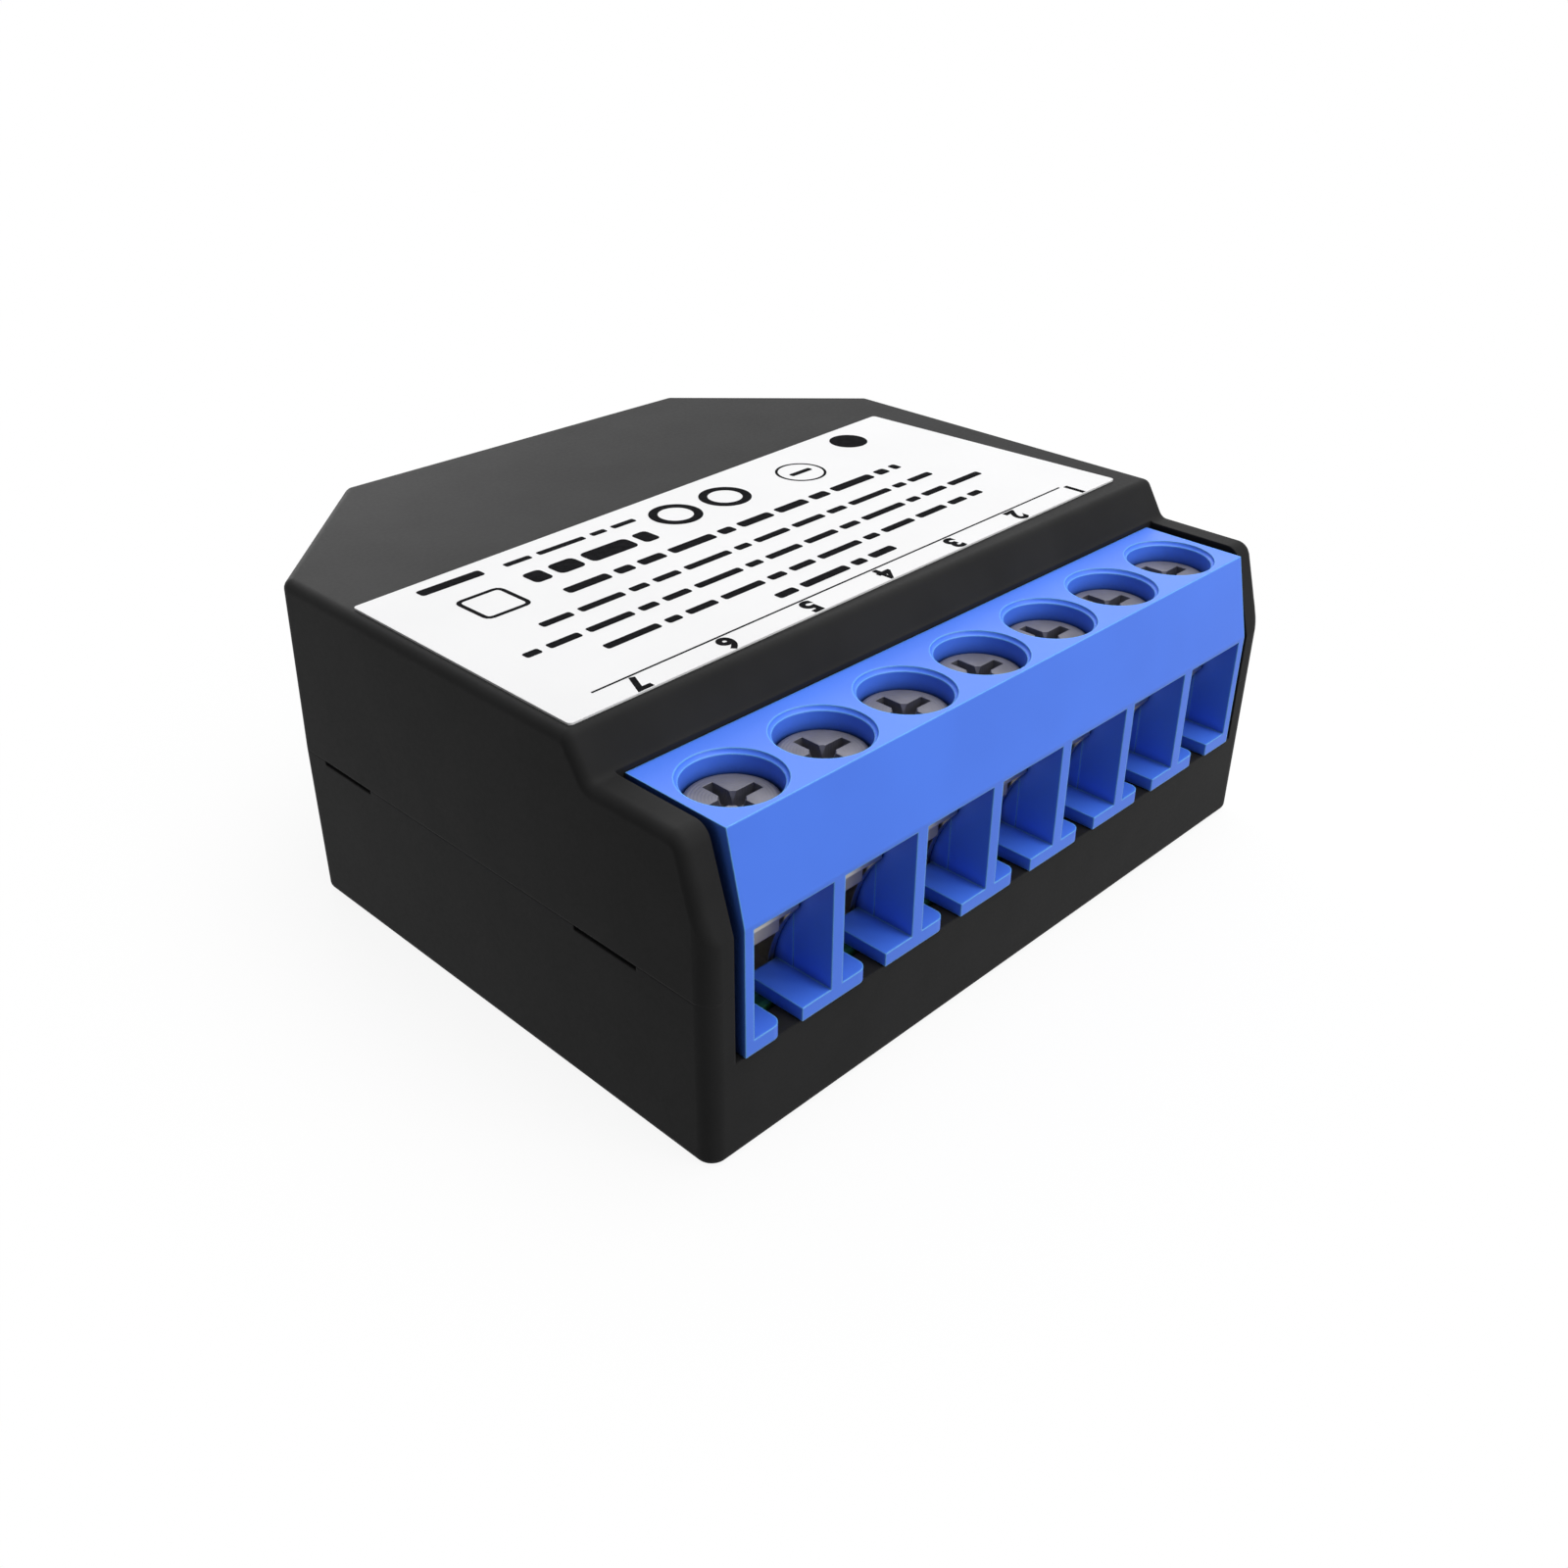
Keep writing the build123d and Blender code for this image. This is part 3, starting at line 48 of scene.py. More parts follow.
# %% [markdown]
# ## Camera
# The camera stands where the photographer stood. Its place and lens were worked out from the
# straight edges of the housing, so the model is seen under the same angle with the same
# perspective. Aiming the camera with a track quaternion keeps the numbers easy to read: a place,
# a target, and a small roll about the view axis.

# %% Place the camera
camera_place = Vector((-49.338, -50.823, 44.582)) * MM
camera_target = Vector((-5.659, -8.273, 8.0)) * MM
camera_roll = math.radians(0.387)
lens_length = 35.45
sensor_width = 36.0
nearest_seen = 5 * MM
farthest_seen = 10.0
bpy.ops.object.camera_add(location=camera_place)
camera = bpy.context.object
camera.name = "photo_camera"
camera.data.lens = lens_length
camera.data.sensor_width = sensor_width
camera.data.clip_start = nearest_seen
camera.data.clip_end = farthest_seen
aim = (camera_target - camera_place).to_track_quat("-Z", "Y")
camera.rotation_euler = (aim @ Quaternion((0, 0, 1), camera_roll)).to_euler()
bpy.context.scene.camera = camera
print("camera turned to", [round(math.degrees(a), 3) for a in camera.rotation_euler])

# %% [markdown]
# ## Small helpers for shader trees
# A shader tree is a set of nodes whose sockets either hold a value or take another node's output.
# Setting the two by hand doubles every line, so one helper, `feed`, does whichever is right. The
# helpers after it each add one kind of node and hand back the socket that the next node reads.

# %% Node helpers
def feed(tree, value, socket):
    """Gives a socket a plain value, or links another node's output to it."""
    if isinstance(value, bpy.types.NodeSocket):
        tree.links.new(value, socket)
    else:
        socket.default_value = value


def math_node(tree, operation, *values):
    """A Math node over one or more values."""
    node = tree.nodes.new("ShaderNodeMath")
    node.operation = operation
    for value, socket in zip(values, node.inputs):
        feed(tree, value, socket)
    return node.outputs[0]


def ramp_node(tree, value, start, end, low=0.0, high=1.0, smooth=False):
    """Turns a value that goes from start to end into one that goes from low to high."""
    ramp = tree.nodes.new("ShaderNodeMapRange")
    if smooth:
        ramp.interpolation_type = "SMOOTHSTEP"
    names = ("Value", "From Min", "From Max", "To Min", "To Max")
    for name, setting in zip(names, (value, start, end, low, high)):
        feed(tree, setting, ramp.inputs[name])
    return ramp.outputs["Result"]


# %% [markdown]
# ## Floor, room and lamps
# A product picture on white needs two things that pull against each other: a background that is
# pure white, and light on the object that is not so strong that its colours wash out. A Light
# Path node solves it. Rays from the camera, and mirror rays, see a white floor and a white room;
# the soft light that bounces round sees a quieter grey.
# Four large lamps do the rest. One hangs overhead, one stands high behind the object so that its
# soft reflection lies on the flat roof, one opens up the terminal side, and one does the same
# for the rear wall with its button and socket.

# %% Seen-as-white helper
def seen_directly(tree):
    """Adds nodes to a shader tree; their output is 1 for camera, mirror and glass rays."""
    path = tree.nodes.new("ShaderNodeLightPath").outputs
    camera_or_mirror = math_node(tree, "MAXIMUM", path["Is Camera Ray"], path["Is Glossy Ray"])
    return math_node(tree, "MAXIMUM", camera_or_mirror, path["Is Transmission Ray"])


# %% Room
room_glow = 0.21
white = 1.0
world = bpy.data.worlds.new("white_room")
bpy.context.scene.world = world
world.use_nodes = True
room = world.node_tree
room.nodes.clear()
room_output = room.nodes.new("ShaderNodeOutputWorld")
quiet_room = room.nodes.new("ShaderNodeBackground")
quiet_room.inputs["Strength"].default_value = room_glow
white_room = room.nodes.new("ShaderNodeBackground")
white_room.inputs["Strength"].default_value = white
for background in (quiet_room, white_room):
    background.inputs["Color"].default_value = (1.0, 1.0, 1.0, 1.0)
room_mix = room.nodes.new("ShaderNodeMixShader")
room.links.new(seen_directly(room), room_mix.inputs["Fac"])
room.links.new(quiet_room.outputs[0], room_mix.inputs[1])
room.links.new(white_room.outputs[0], room_mix.inputs[2])
room.links.new(room_mix.outputs[0], room_output.inputs["Surface"])
print("the room gives", room_glow, "of white to bounced light")

# %% [markdown]
# The floor is one flat plane. Its white is
# an emission, and a small share of plain diffuse paint is mixed in near the module, so that the
# module's shadow still falls on it. The share fades out with distance, and the floor's far part
# joins the background without a line.

# %% Floor
floor_size = 4.0
floor_bounce = 0.24
floor_shadow = 0.10
shadow_tone = 0.95
shadow_reach = (20 * MM, 45 * MM)
bpy.ops.mesh.primitive_plane_add(size=floor_size)
floor = bpy.context.object
floor.name = "floor"
floor_paint = bpy.data.materials.new("floor_paint")
floor_paint.use_nodes = True
paint = floor_paint.node_tree
paint.nodes.clear()
paint_output = paint.nodes.new("ShaderNodeOutputMaterial")
quiet_floor = paint.nodes.new("ShaderNodeBsdfDiffuse")
quiet_floor.inputs["Color"].default_value = (floor_bounce, floor_bounce, floor_bounce, 1.0)
white_floor = paint.nodes.new("ShaderNodeEmission")
white_floor.inputs["Strength"].default_value = white
shaded_floor = paint.nodes.new("ShaderNodeBsdfDiffuse")
shaded_floor.inputs["Color"].default_value = (shadow_tone, shadow_tone, shadow_tone, 1.0)
white_with_shadow = paint.nodes.new("ShaderNodeMixShader")
floor_place = paint.nodes.new("ShaderNodeTexCoord")
from_module = paint.nodes.new("ShaderNodeVectorMath")
from_module.operation = "LENGTH"
paint.links.new(floor_place.outputs["Object"], from_module.inputs[0])
shadow_share = ramp_node(
    paint, from_module.outputs["Value"], *shadow_reach, low=floor_shadow, high=0.0, smooth=True
)
paint.links.new(shadow_share, white_with_shadow.inputs["Fac"])
floor_mix = paint.nodes.new("ShaderNodeMixShader")
paint.links.new(white_floor.outputs[0], white_with_shadow.inputs[1])
paint.links.new(shaded_floor.outputs[0], white_with_shadow.inputs[2])
paint.links.new(seen_directly(paint), floor_mix.inputs["Fac"])
paint.links.new(quiet_floor.outputs[0], floor_mix.inputs[1])
paint.links.new(white_with_shadow.outputs[0], floor_mix.inputs[2])
paint.links.new(floor_mix.outputs[0], paint_output.inputs["Surface"])
floor.data.materials.append(floor_paint)
print("the floor's shadow fades out from", shadow_reach[0], "to", shadow_reach[1], "m")

# %% Lamps
lamp_target = Vector((0.0, 0.0, 8.0)) * MM


def soft_lamp(name, place, size, power):
    """A square soft lamp that faces the module and that the camera doesn't see."""
    bpy.ops.object.light_add(type="AREA", location=place)
    lamp = bpy.context.object
    lamp.name = name
    lamp.data.shape = "SQUARE"
    lamp.data.size = size
    lamp.data.energy = power
    lamp.rotation_euler = (lamp_target - Vector(place)).to_track_quat("-Z", "Y").to_euler()
    lamp.visible_camera = False


soft_lamp("overhead_lamp", (0.07, -0.05, 0.34), size=0.22, power=0.77)
soft_lamp("roof_sheen_lamp", (0.19, 0.185, 0.22), size=0.30, power=0.33)
soft_lamp("terminal_lamp", (0.07, -0.37, 0.17), size=0.26, power=0.70)
soft_lamp("rear_lamp", (0.10, 0.40, 0.13), size=0.26, power=0.55)
bpy.context.scene.view_settings.view_transform = "Standard"

# %% [markdown]
# ## Effects that many finishes share
# Plastic parts, plated parts and boards all show two things when one looks closely: a fine
# grain, and a slow drift in tone. Building these once as a node group keeps them alike, and each
# material gives the group its own scales. A group is a small shader tree with named sockets.
# The patterns read Object coordinates, so they keep their scale in millimetres and travel with
# a piece when its joint moves.

# %% Node group helpers
def new_group(name, inputs, outputs):
    """An empty node group with float or vector sockets, and its input and output sockets."""
    group = bpy.data.node_groups.new(name, "ShaderNodeTree")
    for kind, sockets in (("INPUT", inputs), ("OUTPUT", outputs)):
        for socket, socket_type in sockets:
            group.interface.new_socket(socket, in_out=kind, socket_type=socket_type)
    print("node group", name, "gives", ", ".join(socket for socket, _ in outputs))
    group_in = group.nodes.new("NodeGroupInput").outputs
    group_out = group.nodes.new("NodeGroupOutput").inputs
    return group, group_in, group_out


FLOAT = "NodeSocketFloat"
VECTOR = "NodeSocketVector"


def place_group(tree, group, **values):
    """Puts a group in a tree; an underscore in a name stands for the socket's space."""
    node = tree.nodes.new("ShaderNodeGroup")
    node.node_tree = group
    for name, value in values.items():
        feed(tree, value, node.inputs[name.replace("_", " ")])
    return node.outputs


def noise_node(tree, vector, scale, detail):
    """A noise texture over a vector."""
    node = tree.nodes.new("ShaderNodeTexNoise")
    for name, value in (("Vector", vector), ("Scale", scale), ("Detail", detail)):
        feed(tree, value, node.inputs[name])
    return node.outputs["Fac"]


# %% Surface grain group
grain_detail = 3.0
drift_detail = 2.0
drift_range = (0.35, 0.65)
grain_group, grain_in, grain_out = new_group(
    "surface_grain",
    [("Vector", VECTOR), ("Grain Scale", FLOAT), ("Drift Scale", FLOAT)],
    [("Height", FLOAT), ("Drift", FLOAT)],
)
fine_noise = noise_node(grain_group, grain_in["Vector"], grain_in["Grain Scale"], grain_detail)
slow_noise = noise_node(grain_group, grain_in["Vector"], grain_in["Drift Scale"], drift_detail)
grain_group.links.new(fine_noise, grain_out["Height"])
grain_group.links.new(ramp_node(grain_group, slow_noise, *drift_range), grain_out["Drift"])

# %% [markdown]
# Light also catches on edges. A Bevel node rounds the normal near a sharp CAD edge by a tenth of
# a millimetre or so, the way a mould does, without touching the CAD mesh. Where that rounded
# normal leans away from the face's own, there is an edge, and that makes a mask for a painted
# highlight: a thin line of lighter colour along the edge.

# %% Soft edge group
bevel_samples = 6
edge_agreement = (0.99, 0.85)
edge_group, edge_in, edge_out = new_group(
    "soft_edges", [("Radius", FLOAT)], [("Normal", VECTOR), ("Painted Highlight", FLOAT)]
)
rounded = edge_group.nodes.new("ShaderNodeBevel")
rounded.samples = bevel_samples
edge_group.links.new(edge_in["Radius"], rounded.inputs["Radius"])
true_normal = edge_group.nodes.new("ShaderNodeNewGeometry")
agreement = edge_group.nodes.new("ShaderNodeVectorMath")
agreement.operation = "DOT_PRODUCT"
edge_group.links.new(rounded.outputs["Normal"], agreement.inputs[0])
edge_group.links.new(true_normal.outputs["Normal"], agreement.inputs[1])
highlight_edge_mask = ramp_node(edge_group, agreement.outputs["Value"], *edge_agreement)
edge_group.links.new(rounded.outputs["Normal"], edge_out["Normal"])
edge_group.links.new(highlight_edge_mask, edge_out["Painted Highlight"])

# %% [markdown]
# Narrow gaps and wells get painted shade, so that they look deeper than the lamps alone make them.
# An Ambient Occlusion node finds such places by itself. The group turns it into a factor that the
# colour is multiplied with.

# %% Painted cavity shade group
openness_samples = 8
openness_range = (0.25, 0.75)
painted_shade_group, painted_shade_in, painted_shade_out = new_group(
    "painted_cavity_shade", [("Reach", FLOAT), ("Darkest", FLOAT)], [("Factor", FLOAT)]
)
openness = painted_shade_group.nodes.new("ShaderNodeAmbientOcclusion")
openness.samples = openness_samples
painted_shade_group.links.new(painted_shade_in["Reach"], openness.inputs["Distance"])
painted_shade_factor = ramp_node(
    painted_shade_group, openness.outputs["AO"], *openness_range, low=painted_shade_in["Darkest"]
)
painted_shade_group.links.new(painted_shade_factor, painted_shade_out["Factor"])

# %% [markdown]
# Machined and wound pieces carry a regular pattern instead: rings left by the lathe on a screw
# head, and wire laid turn by turn on a coil. Both are sine waves, one over the distance from an
# axis and one along it. The seven screws stand 5 mm apart, so wrapping x at that pitch centres
# the rings on every screw with a single material.

# %% Lathe ring group
pole_pitch = 5 * MM
screw_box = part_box("terminal_screw_4")
screw_y = (screw_box[0].y + screw_box[1].y) / 2
ring_group, ring_in, ring_out = new_group(
    "lathe_rings", [("Vector", VECTOR), ("Ring Spacing", FLOAT)], [("Height", FLOAT)]
)
ring_axes = ring_group.nodes.new("ShaderNodeSeparateXYZ")
ring_group.links.new(ring_in["Vector"], ring_axes.inputs[0])
from_axis_x = math_node(
    ring_group, "WRAP", ring_axes.outputs["X"], pole_pitch / 2, -pole_pitch / 2
)
from_axis_y = math_node(ring_group, "SUBTRACT", ring_axes.outputs["Y"], screw_y)
squared = [math_node(ring_group, "MULTIPLY", s, s) for s in (from_axis_x, from_axis_y)]
ring_radius = math_node(ring_group, "SQRT", math_node(ring_group, "ADD", *squared))
ring_phase = math_node(ring_group, "DIVIDE", ring_radius, ring_in["Ring Spacing"])
ring_angle = math_node(ring_group, "MULTIPLY", ring_phase, math.tau)
ring_group.links.new(math_node(ring_group, "SINE", ring_angle), ring_out["Height"])
print("the rings are centred at y =", round(screw_y / MM, 3), "mm")

# %% Wire turn group
turn_group, turn_in, turn_out = new_group(
    "wire_turns",
    [("Vector", VECTOR), ("Axis", VECTOR), ("Wire Width", FLOAT)],
    [("Height", FLOAT)],
)
along_axis = turn_group.nodes.new("ShaderNodeVectorMath")
along_axis.operation = "DOT_PRODUCT"
turn_group.links.new(turn_in["Vector"], along_axis.inputs[0])
turn_group.links.new(turn_in["Axis"], along_axis.inputs[1])
turn_phase = math_node(
    turn_group, "DIVIDE", along_axis.outputs["Value"], turn_in["Wire Width"]
)
turn_angle = math_node(turn_group, "MULTIPLY", turn_phase, math.pi)
half_wave = math_node(turn_group, "SINE", turn_angle)
turn_group.links.new(math_node(turn_group, "ABSOLUTE", half_wave), turn_out["Height"])

# %% [markdown]
# ## One recipe for moulded and plated surfaces
# The Principled BSDF covers plastic and metal alike. What makes a surface look real is that its
# tone, its gloss and its tiny bumps vary a little. The recipe feeds the grain group into all
# three, and the edge group into its normal and, as a painted highlight, into its colour.

# %% Colour and bump helpers
def shade(colour, factor):
    """A colour made lighter or darker, with its alpha."""
    return (*[min(1.0, c * factor) for c in colour], 1.0)


def colour_mix(tree, mask, first, second):
    """A colour that goes from the first to the second as a mask goes from 0 to 1."""
    mix = tree.nodes.new("ShaderNodeMix")
    mix.data_type = "RGBA"
    mask_socket, first_socket, second_socket = (mix.inputs[i] for i in (0, 6, 7))
    for value, socket in ((mask, mask_socket), (first, first_socket), (second, second_socket)):
        feed(tree, value, socket)
    return mix.outputs[2]


def bump_node(tree, height, distance, normal):
    """Tiny hills on top of a normal."""
    bump = tree.nodes.new("ShaderNodeBump")
    for name, value in (("Height", height), ("Distance", distance), ("Normal", normal)):
        feed(tree, value, bump.inputs[name])
    return bump.outputs["Normal"]


# %% Finish recipe
def finish(
    name,
    colour,
    roughness,
    metallic=0.0,
    specular=0.5,
    grain_scale=6000.0,
    grain_height=0.0015 * MM,
    drift_scale=250.0,
    drift=0.06,
    edge=0.08 * MM,
    # Unless this is 1, edges get a painted highlight: their colour is made this much lighter.
    edge_highlight=1.15,
):
    """A material with grain, drift, soft edges and a painted edge highlight, and the sockets that
    more nodes may use.
    """
    material = bpy.data.materials.new(name)
    material.use_nodes = True
    tree = material.node_tree
    tree.nodes.clear()
    output = tree.nodes.new("ShaderNodeOutputMaterial")
    shader = tree.nodes.new("ShaderNodeBsdfPrincipled")
    shader.inputs["Metallic"].default_value = metallic
    shader.inputs["Specular IOR Level"].default_value = specular
    tree.links.new(shader.outputs["BSDF"], output.inputs["Surface"])
    place = tree.nodes.new("ShaderNodeTexCoord").outputs["Object"]
    grain = place_group(
        tree, grain_group, Vector=place, Grain_Scale=grain_scale, Drift_Scale=drift_scale
    )
    soft_edges = place_group(tree, edge_group, Radius=edge)
    darker, lighter = shade(colour, 1 - drift), shade(colour, 1 + drift)
    drifting = colour_mix(tree, grain["Drift"], darker, lighter)
    # Along edges the colour is painted lighter, as a painted highlight.
    tint = colour_mix(tree, soft_edges["Painted Highlight"], drifting, shade(colour, edge_highlight))
    tree.links.new(tint, shader.inputs["Base Color"])
    smoothest, roughest = roughness * (1 - drift), min(1.0, roughness * (1 + drift))
    gloss = ramp_node(tree, grain["Height"], 0.0, 1.0, low=smoothest, high=roughest)
    tree.links.new(gloss, shader.inputs["Roughness"])
    normal = bump_node(tree, grain["Height"], grain_height, soft_edges["Normal"])
    tree.links.new(normal, shader.inputs["Normal"])
    return {"material": material, "tree": tree, "shader": shader, "tint": tint,
            "normal": normal, "place": place}


# %% Helpers that add to a finish and put it on
def shade_cavities(look, reach, darkest):
    """Paints shade into a finish's colour in its gaps and wells."""
    tree = look["tree"]
    cavity = place_group(tree, painted_shade_group, Reach=reach, Darkest=darkest)
    shaded = tree.nodes.new("ShaderNodeVectorMath")
    shaded.operation = "SCALE"
    tree.links.new(look["tint"], shaded.inputs[0])
    tree.links.new(cavity["Factor"], shaded.inputs["Scale"])
    tree.links.new(shaded.outputs[0], look["shader"].inputs["Base Color"])


def add_relief(look, group, distance, **values):
    """Lays a patterned group's relief over a finish's own grain."""
    tree = look["tree"]
    pattern = place_group(tree, group, Vector=look["place"], **values)
    relief = bump_node(tree, pattern["Height"], distance, look["normal"])
    tree.links.new(relief, look["shader"].inputs["Normal"])


def dress(look, *nodes):
    """Puts a finish on CAD nodes through their material slots."""
    for node in nodes:
        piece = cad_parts[node]
        if not piece.material_slots:
            piece.data.materials.append(None)
        for slot in piece.material_slots:
            slot.material = look["material"]
    print(look["material"].name, "on", ", ".join(nodes))


# %% [markdown]
# ## The housing
# Both halves are moulded in black flame-proof plastic with a fine satin surface. A low specular
# level keeps the walls nearly black beside the white floor, while the lamp behind still lays a
# soft grey sheen on the roof.

# %% Housing finish
housing_black = finish(
    "housing_black",
    (0.019, 0.019, 0.0192),
    roughness=0.56,
    specular=0.05,
    grain_scale=5200.0,
    grain_height=0.0012 * MM,
    drift=0.10,
    edge=0.12 * MM,
    # The housing's edges get a painted highlight, 1.3 times lighter.
    edge_highlight=1.3,
)
dress(housing_black, "lower_shell", "upper_shell")

# %% [markdown]
# ## The terminal block
# The seven terminals are one moulding in bright blue nylon. Nylon is glossier than the housing
# and its flow leaves faint clouds of tone, so the drift is slow and the grain very shallow. Its
# edges get a strong painted highlight, so they are much lighter than its faces, and the wells and
# channels get painted shade from the cavity group.

# %% Terminal block finish
terminal_blue = finish(
    "terminal_blue",
    (0.075, 0.225, 0.98),
    roughness=0.42,
    specular=0.36,
    grain_scale=3800.0,
    grain_height=0.0008 * MM,
    drift_scale=160.0,
    drift=0.04,
    edge=0.12 * MM,
    # The nylon's edges get a strong painted highlight, 2.5 times lighter.
    edge_highlight=2.5,
)
# The wells and channels of the block get painted shade, down to 0.16 of the colour.
shade_cavities(terminal_blue, reach=1.0 * MM, darkest=0.16)
dress(terminal_blue, "terminal_block")

# %% [markdown]
# ## Terminal screws, cages and bars
# The screw heads are zinc plated steel, turned on a lathe and stamped with a cross. Zinc that has
# gone dull scatters light as well as mirroring it, so its shader is only half metallic, which
# also keeps the cross from turning black; fine rings and a slight blue do the rest. The cages are
# nickel plated and pressed from strip, and the conductor bars are tinned and duller.

# %% Metal finishes in the terminals
pole_numbers = range(1, 8)
screw_zinc = finish(
    "screw_zinc",
    (0.175, 0.172, 0.195),
    roughness=0.50,
    metallic=0.55,
    grain_scale=4200.0,
    grain_height=0.003 * MM,
    drift_scale=700.0,
    drift=0.16,
    edge=0.06 * MM,
)
add_relief(screw_zinc, ring_group, 0.002 * MM, Ring_Spacing=0.14 * MM)
dress(screw_zinc, *[f"terminal_screw_{n}" for n in pole_numbers])

cage_nickel = finish(
    "cage_nickel",
    (0.50, 0.48, 0.44),
    roughness=0.30,
    metallic=1.0,
    grain_scale=3000.0,
    grain_height=0.002 * MM,
    drift=0.10,
    edge=0.05 * MM,
)
dress(cage_nickel, *[f"clamp_cage_{n}" for n in pole_numbers])

bar_tin = finish(
    "bar_tin",
    (0.46, 0.43, 0.36),
    roughness=0.42,
    metallic=1.0,
    grain_scale=2600.0,
    grain_height=0.002 * MM,
    drift_scale=500.0,
    drift=0.12,
    edge=0.05 * MM,
)
dress(bar_tin, "conductor_bars")

# %% [markdown]
# ## The label
# The label is matt white polyester film. Film is not perfectly flat, so its gloss wanders slowly
# and a very long, low ripple bends the light on it. The ink on it is matt too, and so dark that
# only its edges against the film are seen.

# %% Label and ink finishes
label_white = finish(
    "label_white",
    (0.79, 0.79, 0.795),
    roughness=0.60,
    specular=0.10,
    grain_scale=260.0,
    grain_height=0.01 * MM,
    drift_scale=120.0,
    drift=0.012,
    edge=0.04 * MM,
)
dress(label_white, "label")
ink_black = finish(
    "ink_black",
    (0.008, 0.008, 0.009),
    roughness=0.85,
    specular=0.01,
    grain_scale=9000.0,
    grain_height=0.0005 * MM,
    drift_scale=3000.0,
    drift=0.25,
    edge=0.004 * MM,
    edge_highlight=1.0,
)
print(ink_black["material"].name, "for the print")

# %% [markdown]
# ## What is printed on the label
# The print is a thin rule with the terminal numbers 1 to 7, rows of plain dashes, and a few plain
# shapes. Printed ink has almost no thickness, but a separate thin solid gives crisp edges that a
# painted pattern would not.
# The print is read from the side across the terminals, so it is turned half a turn, and it
# follows the label's own slight turn. Places on the label are given in millimetres: u along its
# front edge and v back from it.

# %% Places on the label
ink_thickness = 0.012 * MM
label_corner = Vector((-18.95, -10.10)) * MM
label_run, label_rise = 36.7, 0.8
label_turn = math.atan2(label_rise, label_run)
label_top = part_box("label")[1].z
along = Vector((math.cos(label_turn), math.sin(label_turn)))
across = Vector((-along.y, along.x))


def on_label(u, v, lift=0.0):
    """A point on the label, u mm along its front edge and v mm back from it."""
    spot = label_corner + along * (u * MM) + across * (v * MM)
    return Vector((spot.x, spot.y, label_top + lift))


print("the label is turned by", round(math.degrees(label_turn), 2), "degrees")


# %% [markdown]
# A printed shape starts as a flat primitive, has its corners rounded in edit mode and is then
# extruded by the thickness of the ink. An outline is a filled face, inset, with its middle
# deleted, which keeps its line the same width all round. Pieces of print that belong together
# are joined, and one join bakes their place into the mesh.

# %% Helpers for flat print
corner_steps = 3


def edit(piece):
    """Opens a piece in edit mode with all of it selected."""
    bpy.ops.object.select_all(action="DESELECT")
    piece.select_set(True)
    bpy.context.view_layer.objects.active = piece
    bpy.ops.object.mode_set(mode="EDIT")
    bpy.ops.mesh.select_all(action="SELECT")


def raise_ink():
    """Gives the open, flat selection its thickness, and leaves edit mode."""
    bpy.ops.mesh.select_all(action="SELECT")
    bpy.ops.mesh.extrude_region_move(TRANSFORM_OT_translate={"value": (0, 0, ink_thickness)})
    bpy.ops.mesh.select_all(action="SELECT")
    bpy.ops.mesh.normals_make_consistent(inside=False)
    bpy.ops.object.mode_set(mode="OBJECT")


def outline(line):
    """Turns the filled shape in edit mode into an outline of a given width."""
    bpy.ops.mesh.select_all(action="SELECT")
    bpy.ops.mesh.inset(thickness=line * MM, depth=0)
    bpy.ops.mesh.delete(type="FACE")
    raise_ink()


def bar_on_label(u, v, length, width, corner):
    """A flat bar with rounded corners, centred on a place of the label; stays in edit mode."""
    bpy.ops.object.select_all(action="DESELECT")
    bpy.ops.mesh.primitive_plane_add(size=MM, location=on_label(u, v), rotation=(0, 0, label_turn))
    bar = bpy.context.object
    bar.scale = (length, width, 1)
    bpy.ops.object.transform_apply(location=False, rotation=False, scale=True)
    edit(bar)
    bpy.ops.mesh.bevel(offset=corner * MM, segments=corner_steps, affect="VERTICES")
    return bar


# %% Helpers for whole marks
corner_share = 0.25


def solid_bar(u, v, length, width):
    """A printed bar."""
    bar = bar_on_label(u, v, length, width, corner=corner_share * min(length, width))
    raise_ink()
    return bar


def join_print(name, pieces):
    """Joins printed pieces, bakes their place, inks them and hands them to the housing."""
    bpy.ops.object.select_all(action="DESELECT")
    for piece in pieces:
        piece.select_set(True)
    bpy.context.view_layer.objects.active = pieces[0]
    if len(pieces) > 1:
        bpy.ops.object.join()
    bpy.ops.object.transform_apply(location=True, rotation=True, scale=True)
    joined = bpy.context.object
    joined.name = name
    joined.data.materials.clear()
    joined.data.materials.append(ink_black["material"])
    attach(joined, "housing")
    print(name, "has", len(joined.data.polygons), "faces")


# %% Rule
rule_u = (2.2, 33.6)
rule_v = 1.32
rule_width = 0.10
join_print("label_rule", [solid_bar(sum(rule_u) / 2, rule_v, rule_u[1] - rule_u[0], rule_width)])

# %% [markdown]
# The numbers are text objects. Text is a filled curve, so a small offset makes its strokes as
# bold as print, an extrusion gives it the ink's thickness, and converting it makes it a mesh.

